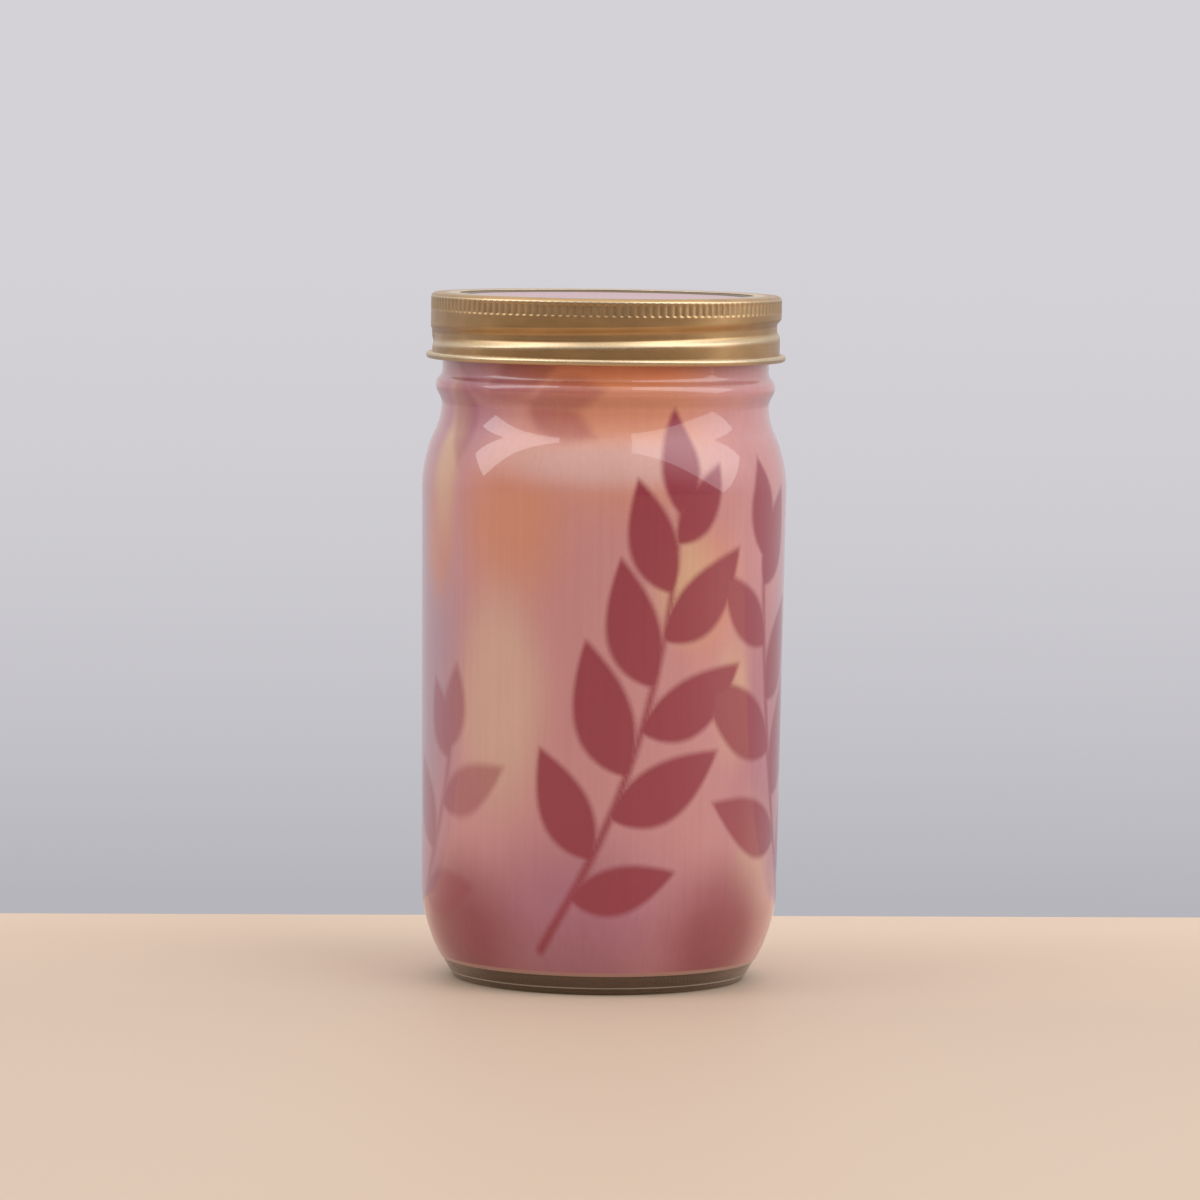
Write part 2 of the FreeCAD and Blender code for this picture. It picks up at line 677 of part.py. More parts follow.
def grow_guide():
    """Card leaflet folded in three, standing behind the seed packet."""
    body = new_body("grow_guide")
    plan = sketch_on(body, "guide_plan", "XY_Plane", lift="floor_height")
    front = f"({KIT_FRONT} + packet_depth + kit_clearance)"
    step = "(guide_card + guide_fold_gap)"
    left = "(0 - guide_width / 2)"
    right = "(guide_width / 2)"
    outline(plan, [
        (left, front),
        (right, front),
        (right, f"{front} + {step} + guide_card"),
        (f"{left} + guide_card", f"{front} + {step} + guide_card"),
        (f"{left} + guide_card", f"{front} + 2 * {step}"),
        (right, f"{front} + 2 * {step}"),
        (right, f"{front} + 2 * {step} + guide_card"),
        (left, f"{front} + 2 * {step} + guide_card"),
        (left, f"{front} + {step}"),
        (f"{right} - guide_card", f"{front} + {step}"),
        (f"{right} - guide_card", f"{front} + guide_card"),
        (left, f"{front} + guide_card"),
    ])
    pad(body, plan, "guide_leaves", "guide_height")
    return body


def sachet(name, width, height, depth, front):
    """Filled paper sachet: a plump middle that thins to a flat seam on all four sides."""
    body = new_body(name)
    for label, inset, thickness in (("seams", "0", "sachet_edge"), ("middle", "sachet_seam", depth)):
        plan = sketch_on(body, f"{name}_{label}_plan", "XY_Plane", lift=f"floor_height + {inset}")
        rectangle(plan, f"{inset} - {width} / 2", f"{width} / 2 - {inset}",
                  f"{front} + ({depth} - {thickness}) / 2", f"{front} + ({depth} + {thickness}) / 2")
        pad(body, plan, f"{name}_{label}", f"{height} - 2 * {inset}")
    return body


GUIDE_DEPTH = "(3 * guide_card + 2 * guide_fold_gap)"
FOOD_FRONT = f"({KIT_FRONT} + packet_depth + {GUIDE_DEPTH} + 2 * kit_clearance)"
CARBON_FRONT = f"({FOOD_FRONT} + food_depth + kit_clearance)"

NODES = [
    glass_jar(),
    print_sleeve(),
    screw_band(),
    lid_disc(),
    lid_seal(),
    lid_label(),
    pot_rim(),
    pot_wall(),
    pot_base(),
    wick(),
    coir_disc(),
    seed_packet(),
    seeds(),
    grow_guide(),
    sachet("food_sachet", "food_width", "food_height", "food_depth", FOOD_FRONT),
    sachet("carbon_sachet", "carbon_width", "carbon_height", "carbon_depth", CARBON_FRONT),
]

doc.recompute()
for item in doc.Objects:
    if "Invalid" in item.State or "Error" in item.State:
        raise RuntimeError(f"{item.Label} did not build: {item.State}")
for node in NODES:
    if node.Shape.isNull() or not node.Shape.isValid():
        raise RuntimeError(f"{node.Label} has no valid shape")
    print(node.Label, len(node.Shape.Solids), "solid(s),", round(node.Shape.Volume), "cubic mm")
    node.Shape.exportStep(f"parts/{node.Label}.step")
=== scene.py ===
import math
import random

import bmesh
import bpy
import numpy
from bpy.props import FloatProperty, FloatVectorProperty, IntProperty, PointerProperty
from mathutils import Euler, Matrix, Vector, noise


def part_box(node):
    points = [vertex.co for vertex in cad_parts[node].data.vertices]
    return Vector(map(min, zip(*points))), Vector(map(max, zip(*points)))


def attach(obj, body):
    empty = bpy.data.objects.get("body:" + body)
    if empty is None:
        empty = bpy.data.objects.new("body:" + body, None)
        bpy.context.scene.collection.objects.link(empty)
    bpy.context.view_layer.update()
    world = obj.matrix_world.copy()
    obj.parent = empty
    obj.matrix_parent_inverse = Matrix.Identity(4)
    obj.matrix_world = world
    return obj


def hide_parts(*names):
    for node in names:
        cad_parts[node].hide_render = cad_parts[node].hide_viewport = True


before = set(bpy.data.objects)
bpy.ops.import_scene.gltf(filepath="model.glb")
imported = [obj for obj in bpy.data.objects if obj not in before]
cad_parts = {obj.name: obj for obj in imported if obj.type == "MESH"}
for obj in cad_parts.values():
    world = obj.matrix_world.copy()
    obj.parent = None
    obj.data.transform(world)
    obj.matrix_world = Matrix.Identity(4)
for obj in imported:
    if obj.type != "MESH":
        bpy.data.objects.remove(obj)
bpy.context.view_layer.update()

# Dressed model of a hydroponic jar planter: a threaded jar in a printed film sleeve under a gold
# screw band and a pink lid, with the net pot, wick and growing kit inside. Lengths are in metres
# and angles in radians, unless a comment says otherwise. +Z is up and -Y is the front. A "reach"
# is how far a rounded corner runs along each of its two sides.

bl_info = {
    "name": "Jar planter dresser",
    "version": (1, 0, 0),
    "blender": (4, 5, 0),
    "location": "3D View > Sidebar > Jar planter",
    "description": "Builds the finished surfaces of a hydroponic jar planter round its frame",
    "category": "Object",
}

FULL_TURN = math.tau
MERGE_WITHIN = 2e-6
MM_IN_METRE = 1000
# Degrees between two faces from which their edge looks sharp
CREASE = 38
COLOUR_MIX = {"data_type": "RGBA"}
SOFT_LIGHT = {"data_type": "RGBA", "blend_type": "SOFT_LIGHT"}

# Longest edges of the outlines: the finer, the smaller the surface's own detail
LONGEST = {"thread": 0.00045, "body": 0.03, "print": 0.0009, "groove": 0.00022,
           "inner_groove": 0.0008, "plain_band": 0.002, "lid": 0.006, "label": 0.004,
           "wick": 0.003, "coir": 0.0011, "guide": 0.006}


def linear(hex_colour):
    """The scene's linear colour for an sRGB hex value."""
    channels = [int(hex_colour[i:i + 2], 16) / 255 for i in (1, 3, 5)]
    return tuple(c / 12.92 if c <= 0.04045 else ((c + 0.055) / 1.055) ** 2.4 for c in channels)


def length(name, about, metres):
    """A size that a user may change."""
    return FloatProperty(name=name, description=about, default=metres, precision=5,
                         subtype="DISTANCE", unit="LENGTH")


def angle(name, about, degrees):
    """An angle that a user may change."""
    return FloatProperty(name=name, description=about, default=math.radians(degrees),
                         subtype="ANGLE", unit="ROTATION")


def share(name, about, value):
    """A plain number from 0 upwards."""
    return FloatProperty(name=name, description=about, default=value, min=0)


def count(name, about, number):
    """How many equal features go round the part."""
    return IntProperty(name=name, description=about, default=number, min=8)


def tint(name, about, hex_colour):
    """A colour that a user may change."""
    return FloatVectorProperty(name=name, description=about, default=linear(hex_colour),
                               subtype="COLOR", size=3, min=0, max=1)


class JarSettings(bpy.types.PropertyGroup):
    """Section, thread and glass of the jar."""

    lip_height: length("Lip height", "Top of the glass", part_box("pot_rim")[1].z - 0.0005)
    lip_reach: length("Lip rounding", "Reach of the lip's two rounded corners", 0.0012)
    mouth_radius: length("Mouth radius", "Inside of the mouth", 0.0385)
    finish_radius: length("Finish radius", "Outside of the threaded part", 0.0428)
    finish_bottom: length("Finish bottom", "Where the threaded part ends", 0.164)
    finish_step: length("Finish step", "Height of the step under the threaded part", 0.0003)
    neck_radius: length("Neck radius", "Outside of the glass under the band", 0.0422)
    neck_bottom: length("Neck bottom", "Where the transfer bead starts", 0.1572)
    bead_radius: length("Bead radius", "Outside of the transfer bead", 0.0445)
    bead_height: length("Bead height", "Middle of the transfer bead", 0.1546)
    bead_bottom: length("Bead bottom", "Where the bead meets the waist", 0.1502)
    waist_radius: length("Waist radius", "Outside of the waist", 0.0423)
    waist_bottom: length("Waist bottom", "Where the shoulder starts", 0.1457)
    shoulder_radius: length("Shoulder radius", "Outside of the body at the shoulder", 0.04725)
    shoulder_height: length("Shoulder height", "Corner of the shoulder", 0.1356)
    heel_radius: length("Heel radius", "Outside of the body at the heel", 0.046)
    heel_height: length("Heel height", "Corner of the heel", 0.0138)
    foot_radius: length("Foot radius", "Outside of the ring that the jar stands on", 0.0377)
    foot_reach: length("Foot rounding", "Reach of that ring's rounded corners", 0.0007)
    bearing_width: length("Bearing width", "Width of that ring", 0.0032)
    push_up: length("Push-up", "Height of the hollow under the base", 0.0036)
    push_up_slope: length("Push-up slope", "Width of the slope up to it", 0.0045)
    floor_height: length("Floor height", "Inside floor of the jar", 0.0115)
    wall: length("Wall", "Thickness of the body's wall", 0.003)
    flare_height: length("Flare height", "Where the inside widens below the mouth", 0.1433)
    thread_radius: length("Thread radius", "Outside of the thread", 0.0444)
    thread_pitch: length("Thread pitch", "Rise of one turn", 0.00635)
    thread_start: angle("Thread start", "Azimuth of the thread's lower end", -445.2)
    thread_start_height: length("Thread start height", "Height of that end", 0.16513)
    thread_turns: share("Thread turns", "Length of the thread in turns", 1.25)
    stipple_count: count("Stipples", "Grip marks round the bearing ring", 210)
    stipple_depth: length("Stipple depth", "Height of the grip marks", 0.0002)
    glass: tint("Glass", "Faint tint of the glass", "#e9efe8")
    # The foot's brown is partly the thick glass's tint and partly painted shade of the dim floor
    # and inside seen through it
    foot_tint: tint("Foot tint", "Tint of the thick foot", "#94765e")
    foot_clear: length("Foot clear", "Height above which the glass is clear", 0.0062)
    foot_fade: length("Foot fade", "Height over which the foot's tint sets in", 0.0012)
    # The seam's light is a painted highlight: a thin pale line drawn round the foot
    seam_tint: tint("Seam tint", "Light that the mould seam catches", "#fbeedb")
    seam_height: length("Seam height", "Mould seam round the foot", 0.0019)
    seam_half: length("Half seam", "Half the height of that light", 0.00016)


class FilmSettings(bpy.types.PropertyGroup):
    """Shrunk film sleeve and its print."""

    gap: length("Gap", "From the glass to the film", 0.00005)
    thickness: length("Thickness", "Of the film", 0.00015)
    top: length("Top", "Upper edge of the film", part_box("print_sleeve")[1].z)
    bottom: length("Bottom", "Lower edge of the film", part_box("print_sleeve")[0].z)
    cut_reach: length("Cut rounding", "Reach of the film's cut edges", 0.00006)
    bare_edge: length("Bare edge", "Strip without print along the lower edge", 0.0011)
    blush: tint("Blush", "Ground of the print", "#c68685")
    peach: tint("Peach", "Warm washes", "#d18767")
    cream: tint("Cream", "Pale washes", "#d0a591")
    rose: tint("Rose", "Pale pink washes", "#d3a6a0")
    sand: tint("Sand", "Warm pale washes", "#d3a684")
    mauve: tint("Mauve", "Cool washes", "#a86577")
    lilac: tint("Lilac", "Pale cool washes", "#b18b98")
    clay: tint("Clay", "Dark washes near the heel", "#8b2e3b")
    # Painted light: a bright warm ink that lifts the shade the band casts on the neck
    painted_light_under_band: tint("Ember", "Warm wash under the band", "#f0905c")
    leaf: tint("Leaf", "Silhouettes of the leaves", "#901c32")
    bare: tint("Bare film", "Lower edge without print", "#b08676")
    backing: tint("Backing", "Opaque ink on the film's inside", "#8f7c68")


class BandSettings(bpy.types.PropertyGroup):
    """Rolled screw band."""

    top: length("Top", "Top of the band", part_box("screw_band")[1].z)
    tin: length("Tinplate", "Thickness of the sheet", 0.0003)
    opening_radius: length("Opening radius", "Inner edge of the flange", 0.0381)
    opening_reach: length("Opening rounding", "Reach of that edge's two corners", 0.00012)
    wall_radius: length("Wall radius", "Outside of the knurled wall", 0.04545)
    skirt_radius: length("Skirt radius", "Outside of the skirt under the groove", 0.04505)
    corner_reach: length("Corner rounding", "Reach of the rounded top edge", 0.0013)
    taper_height: length("Taper height", "Middle of the step to the skirt", 0.1659)
    taper_length: length("Taper length", "Height over which the wall draws in", 0.0016)
    curl_radius: length("Curl radius", "Of the rolled lower edge", 0.00095)
    curl_height: length("Curl height", "Middle of the rolled lower edge", 0.1619)
    groove_radius: length("Groove radius", "Bottom of the rolled thread", 0.0443)
    groove_start: angle("Groove start", "Azimuth where the thread starts", -186.0)
    groove_start_height: length("Groove start height", "Height of that end", 0.1675)
    groove_turns: share("Groove turns", "Length of the thread in turns", 0.76)
    knurl_count: count("Knurls", "Ribs round the wall", 144)
    knurl_depth: length("Knurl depth", "Depth of the ribs", 0.00026)
    knurl_top: length("Knurl top", "Upper end of the ribs, below the top", 0.0012)
    knurl_bottom: length("Knurl bottom", "Lower end of the ribs, below the top", 0.0046)
    gold: tint("Gold", "Gold lacquer on tinplate", "#be9869")
    # Paler gold: wear on ribs and under the curl, and painted highlight on the flange, edge, curl
    # and lip
    worn_gold: tint("Worn gold", "Rubbed lacquer on ribs and curl", "#e6d6b6")


class LidSettings(bpy.types.PropertyGroup):
    """Flat lid and its printed face."""

    rim_radius: length("Rim radius", "Outside of the lid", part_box("lid_disc")[1].x)
    top: length("Top", "Top of the rim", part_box("lid_disc")[1].z)
    rim_bottom: length("Rim bottom", "Lower edge of the rim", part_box("lid_disc")[0].z)
    tin: length("Tinplate", "Thickness of the sheet", 0.0003)
    panel_radius: length("Panel radius", "Flat centre panel", 0.0362)
    panel_step: length("Panel step", "Width of the step round it", 0.0008)
    panel_height: length("Panel height", "Top of the panel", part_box("lid_label")[0].z)
    bend_reach: length("Bend rounding", "Reach of the sheet's soft bends", 0.0003)
    label_radius: length("Label radius", "Printed face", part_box("lid_label")[1].x)
    label_top: length("Label top", "Top of the printed face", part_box("lid_label")[1].z)
    # The lid's lacquer is drawn dark brown-gold: painted shade for the dim recess under the band's
    # flange
    shade: tint("Shaded lacquer", "Darker lacquer of the lid's rim", "#77634a")
    pink: tint("Pink", "Printed face", "#bf9a9f")
    compound: tint("Compound", "Sealing ring", "#7d2f28")


class PotSettings(bpy.types.PropertyGroup):
    """Steel net pot, felt wick and coir disc."""

    steel: tint("Steel", "Brushed stainless sheet", "#c3c1bb")
    wick_width: length("Wick width", "Across the felt", 0.020)
    wick_thickness: length("Wick thickness", "Of the felt", 0.0025)
    wick_spacing: length("Wick spacing", "Between the two tails", 0.024)
    wick_bend: length("Wick bend", "Reach of the felt's two bends", 0.0018)
    felt: tint("Felt", "Needled wool and viscose", "#ded8c9")
    coir: tint("Coir", "Pressed coir pith", "#5a3a22")
    fibre: tint("Fibre", "Pale coir fibres", "#a67a4c")


class KitSettings(bpy.types.PropertyGroup):
    """Papers and sachets packed in the jar."""

    paper: tint("Paper", "Uncoated packet paper", "#e3d3bd")
    ink: tint("Ink", "Plain printed panel", "#a9606a")
    sachet: tint("Sachet", "Heat-sealed filter paper", "#d9cfbd")
    seed: tint("Seed", "Dry seed coat", "#4b3626")
    card: length("Card", "Thickness of the guide's card", 0.0003)
    leaf_edge: length("Leaf edge", "How far the guide's inner leaf stays back", 0.0006)
    packet_seam: length("Packet seam", "Glued border of the seed packet", 0.003)
    seam: length("Seam", "Sealed border of a sachet", 0.005)


class StageSettings(bpy.types.PropertyGroup):
    """Floor, background, lights and camera."""

    floor: tint("Floor", "Pale warm table top", "#e6cbb2")
    floor_back: length("Floor back", "Back edge of the table top, behind the jar", 0.123)
    floor_turn: angle("Floor turn", "Of the table top about the jar, from above", 4.3)
    floor_reach: length("Floor reach", "How far the table top runs the other ways", 2.6)
    floor_thickness: length("Floor thickness", "Of the table top", 0.03)
    backdrop_low: tint("Low backdrop", "Background just over the table", "#b6b5bb")
    backdrop_high: tint("High backdrop", "Background above", "#d4d2d7")
    room: tint("Room", "Dim room that the jar mirrors", "#6f6f77")
    sky: tint("Sky", "Pale ceiling that the jar mirrors", "#fbfafa")
    ambient: tint("Ambient", "Even light on matt surfaces", "#faf8f9")
    window: tint("Window", "Light of the windows", "#f6fbff")
    camera_distance: length("Camera distance", "From the jar's axis", 1.6554)
    camera_height: length("Camera height", "Above the table", 0.2275)
    camera_shift: length("Camera offset", "To the left of the jar's axis", 0.0007)
    camera_pitch: angle("Camera pitch", "Downwards", 4.46)
    camera_roll: angle("Camera roll", "Anticlockwise", 0.75)
    camera_lens: FloatProperty(name="Lens", description="Focal length on a 36 mm sensor",
                               default=191.5, subtype="DISTANCE_CAMERA")


def smooth(low, high, value):
    """Ease from 0 at low to 1 at high."""
    part = min(max((value - low) / (high - low), 0.0), 1.0)
    return part * part * (3 - 2 * part)


def round_corner(mesh, point, reach, steps):
    """Round one corner of an outline."""
    bmesh.ops.bevel(mesh, geom=[point], offset=reach, offset_type="OFFSET", affect="VERTICES",
                    segments=steps, profile=0.5, material=-1)


def section(corners):
    """A closed XZ outline of corners: radius, height, and for a round one its reach and steps."""
    mesh = bmesh.new()
    points = [mesh.verts.new((corner[0], 0, corner[1])) for corner in corners]
    mesh.faces.new(points)
    for point, corner in zip(points, corners):
        if len(corner) > 2:
            round_corner(mesh, point, *corner[2:])
    bmesh.ops.delete(mesh, geom=mesh.faces[:], context="FACES_ONLY")
    return mesh


def strip(places, reach, steps):
    """An open outline through places, rounded where it bends."""
    mesh = bmesh.new()
    points = [mesh.verts.new(place) for place in places]
    for first, second in zip(points, points[1:]):
        mesh.edges.new((first, second))
    for point in points[1:-1]:
        round_corner(mesh, point, reach, steps)
    return mesh


def middle_of(edge):
    """The middle of an edge."""
    return (edge.verts[0].co + edge.verts[1].co) / 2


def divide(mesh, longest):
    """Cut an outline's edges at positive X into short ones; longest may be worked out by edge."""
    for edge in mesh.edges[:]:
        cuts = int(edge.calc_length() / (longest(edge) if callable(longest) else longest))
        if cuts and middle_of(edge).x > 0:
            bmesh.ops.subdivide_edges(mesh, edges=[edge], cuts=cuts)


def turn(mesh, steps):
    """Turn an outline once round the Z axis into a closed skin, with so many steps an eighth."""
    on_axis = [edge for edge in mesh.edges if all(abs(v.co.x) < MERGE_WITHIN for v in edge.verts)]
    bmesh.ops.delete(mesh, geom=on_axis, context="EDGES")
    sector = FULL_TURN / 8
    bmesh.ops.spin(mesh, geom=mesh.verts[:] + mesh.edges[:], cent=(0, 0, 0), axis=(0, 0, 1),
                   angle=sector, steps=steps)
    for _ in range(3):
        copied = bmesh.ops.duplicate(mesh, geom=mesh.verts[:] + mesh.edges[:] + mesh.faces[:])
        verts = [item for item in copied["geom"] if isinstance(item, bmesh.types.BMVert)]
        bmesh.ops.rotate(mesh, verts=verts, cent=(0, 0, 0), matrix=Matrix.Rotation(sector, 3, "Z"))
        sector *= 2
    bmesh.ops.remove_doubles(mesh, verts=mesh.verts[:], dist=MERGE_WITHIN)
    bmesh.ops.recalc_face_normals(mesh, faces=mesh.faces[:])


def sweep(mesh, way, steps):
    """Draw an outline out along a way into a skin, in so many steps."""
    edges = mesh.edges[:]
    for _ in range(steps):
        grown = bmesh.ops.extrude_edge_only(mesh, edges=edges)["geom"]
        moved = [item for item in grown if isinstance(item, bmesh.types.BMVert)]
        bmesh.ops.translate(mesh, verts=moved, vec=way / steps)
        edges = [item for item in grown if isinstance(item, bmesh.types.BMEdge)
                 and all(vert in moved for vert in item.verts)]
    bmesh.ops.recalc_face_normals(mesh, faces=mesh.faces[:])


def from_helix(point, start, start_height, turns, pitch):
    """For each pass of a helix by a point: the height above it, and the angle to its nearer end."""
    azimuth = math.atan2(point.y, point.x)
    passes = []
    for whole in (-1, 0, 1):
        gone = azimuth + whole * FULL_TURN - start
        if 0 <= gone <= turns * FULL_TURN:
            height = start_height + pitch * gone / FULL_TURN
            passes.append((point.z - height, min(gone, turns * FULL_TURN - gone)))
    return passes


def set_radius(vert, radius):
    """Move a vertex straight out from the axis or in to it."""
    now = math.hypot(vert.co.x, vert.co.y)
    vert.co.x *= radius / now
    vert.co.y *= radius / now


def piece(name, mesh, finishes, body, slot, *nodes, crease=CREASE):
    """Make a mesh a finished object on its body, and hide the nodes it stands for; the slot is not
    used.
    """
    data = bpy.data.meshes.new(name)
    mesh.to_mesh(data)
    mesh.free()
    data.polygons.foreach_set("use_smooth", [True] * len(data.polygons))
    data.set_sharp_from_angle(angle=math.radians(crease))
    for each in finishes:
        data.materials.append(each)
    made = bpy.data.objects.new(name, data)
    bpy.context.scene.collection.objects.link(made)
    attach(made, body)
    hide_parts(*nodes)
    return made


def dress(node_name, paint):
    """Give a carried-over solid its finish."""
    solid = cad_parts[node_name]
    solid.data.materials.clear()
    solid.data.materials.append(paint)


def add(tree, kind, sockets=(), out=None, **settings):
    """Add a node with its settings and inputs, by name or in order, and give one of its outputs."""
    made = tree.nodes.new("ShaderNode" + kind)
    for key, value in settings.items():
        setattr(made, key, value)
    if isinstance(sockets, dict):
        pairs = [(made.inputs[key], value) for key, value in sockets.items()]
    else:
        pairs = zip([each for each in made.inputs if each.enabled], sockets)
    for socket, value in pairs:
        if isinstance(value, bpy.types.NodeSocket):
            tree.links.new(value, socket)
        else:
            socket.default_value = value
    if out:
        return made.outputs[out]
    return next((each for each in made.outputs if each.enabled), None)


def tone(colour, factor=1.0):
    """A colour property as a shader colour, made darker by a factor."""
    return (*(channel * factor for channel in colour), 1.0)


def mottle(tree, colour, factor, pattern, low=0.3, high=0.7):
    """A colour that gets darker, by a factor, where a pattern is low."""
    spread = add(tree, "MapRange", [pattern, low, high, 0.0, 1.0])
    return add(tree, "Mix", [spread, tone(colour, factor), tone(colour)], **COLOUR_MIX)


# Noise patterns of each finish: the size of the features along X, Y and Z in millimetres, then
# detail and roughness of the noise. Rolling and brushing lines, print grain and paper fibres are
# drawn coarser than they are, so that they show.
PATTERNS = {
    "pressed_glass": {"waves": (11, 11, 17, 1, 0.5)},
    "printed_film": {"drift": (16, 16, 34, 3, 0.5), "streaks": (1.1, 1.1, 45, 2, 0.5),
                     "specks": (0.3, 0.3, 0.3, 1, 0.5), "waves": (12, 12, 30, 1, 0.5)},
    "film_backing": {"cloud": (6, 6, 12, 3, 0.5)},
    "lacquer": {"lines": (30, 30, 0.25, 2, 0.5), "cloud": (9, 9, 6, 3, 0.5),
                "specks": (0.5, 0.5, 0.4, 1, 0.5)},
    "label_print": {"cloud": (22, 22, 22, 3, 0.5), "fibre": (0.4, 0.4, 0.4, 2, 0.5)},
    "seal_rubber": {"pits": (0.7, 0.7, 0.7, 3, 0.5)},
    "brushed_steel": {"lines": (20, 20, 0.2, 2, 0.5), "cloud": (12, 12, 12, 2, 0.5)},
    "needled_felt": {"fibres": (1.6, 1.6, 0.35, 4, 0.7)},
    "pressed_coir": {"crumbs": (1.4, 1.4, 1.4, 5, 0.7)},
    "plain_paper": {"pulp": (0.9, 0.9, 0.5, 4, 0.5), "cloud": (14, 14, 14, 2, 0.5)},
    "seed_coat": {"ribs": (0.25, 0.25, 1, 2, 0.5)},
    "table_paint": {"cloud": (160, 50, 50, 2, 0.5)},
}


def finish(name, recipe, *settings):
    """A new material: the noise patterns under a recipe's name, and the recipe's surface."""
    made = bpy.data.materials.new(name)
    made.use_nodes = True
    tree = made.node_tree
    tree.nodes.clear()
    place = add(tree, "TexCoord", out="Object")
    patterns = {}
    for pattern, (*size, detail, roughness) in PATTERNS[recipe.__name__].items():
        per_metre = [MM_IN_METRE / each for each in size]
        scaled = add(tree, "Mapping", {"Vector": place, "Scale": per_metre})
        patterns[pattern] = add(tree, "TexNoise", {
            "Vector": scaled, "Scale": 1.0, "Detail": detail, "Roughness": roughness})
    add(tree, "OutputMaterial", [recipe(tree, *settings, **patterns)])
    return made


def pressed_glass(tree, jar, waves):
    """Pressed soda-lime glass: clear, faintly green, with the slow waves that a mould leaves.

    Its thick foot holds more of the tint, and is drawn brown and less clear, in part as painted
    shade.
    """
    height = add(tree, "SeparateXYZ", [add(tree, "TexCoord", out="Object")], "Z")
    # Below foot_clear the glass turns brown and less clear: tint and painted shade
    foot = add(tree, "MapRange", [height, jar.foot_clear, jar.foot_clear - jar.foot_fade, 0.0, 1.0])
    # Painted highlight: a thin pale line round the foot at this height
    seam = add(tree, "Math", [height, jar.seam_height, jar.seam_half], operation="COMPARE")
    foot_tint_shade_and_highlight = add(tree, "Mix", [seam, tone(jar.foot_tint), tone(jar.seam_tint)], **COLOUR_MIX)
    glass = add(tree, "BsdfPrincipled", {
        "Base Color": add(tree, "Mix", [foot, tone(jar.glass), foot_tint_shade_and_highlight], **COLOUR_MIX),
        "Roughness": 0.02, "IOR": 1.52,
        "Transmission Weight": add(tree, "MapRange", [foot, 0.0, 1.0, 1.0, 0.62]),
        "Normal": add(tree, "Bump", {"Height": waves, "Distance": 0.00012, "Strength": 0.5})})
    # Light falls through the glass on what stands behind it
    through = add(tree, "BsdfTransparent", [tone(jar.glass)])
    return add(tree, "MixShader", [add(tree, "LightPath", out="Is Shadow Ray"), glass, through])


# Washes of the print: ink, azimuth from the front in degrees, height, half width, half height,
# and how strongly the ink covers
WASHES = [
    ("lilac", -72, 0.088, 0.026, 0.072, 0.85),
    ("lilac", 100, 0.104, 0.034, 0.062, 0.70),
    ("lilac", -160, 0.060, 0.038, 0.060, 0.80),
    ("mauve", -8, 0.018, 0.046, 0.036, 0.95),
    ("mauve", 64, 0.062, 0.026, 0.060, 0.55),
    ("mauve", 176, 0.140, 0.044, 0.040, 0.80),
    ("peach", 6, 0.148, 0.042, 0.036, 1.00),
    ("peach", -30, 0.122, 0.024, 0.034, 0.80),
    ("peach", 34, 0.104, 0.017, 0.026, 0.70),
    ("peach", 132, 0.040, 0.036, 0.050, 0.90),
    ("peach", -118, 0.120, 0.032, 0.048, 0.85),
    ("cream", -34, 0.076, 0.020, 0.044, 0.95),
    ("cream", 58, 0.030, 0.014, 0.028, 0.70),
    ("cream", 150, 0.098, 0.018, 0.036, 0.85),
    ("mauve", -58, 0.150, 0.022, 0.024, 0.70),
    ("peach", -64, 0.116, 0.013, 0.026, 0.75),
    # A narrow pale streak up the left of the shoulder
    ("sand", -60, 0.138, 0.009, 0.032, 0.90),
    # A pale pink band across the front of the shoulder
    ("rose", 4, 0.136, 0.046, 0.0100, 0.75),
    ("sand", 27, 0.106, 0.014, 0.022, 0.80),
    ("sand", 46, 0.076, 0.010, 0.024, 0.70),
    # Painted light: lifts the shade that the band casts on the front of the neck
    ("painted_light_under_band", 2, 0.1590, 0.042, 0.0055, 0.95),
    ("clay", -52, 0.015, 0.030, 0.030, 0.95),
    ("clay", 44, 0.014, 0.028, 0.032, 0.90),
]


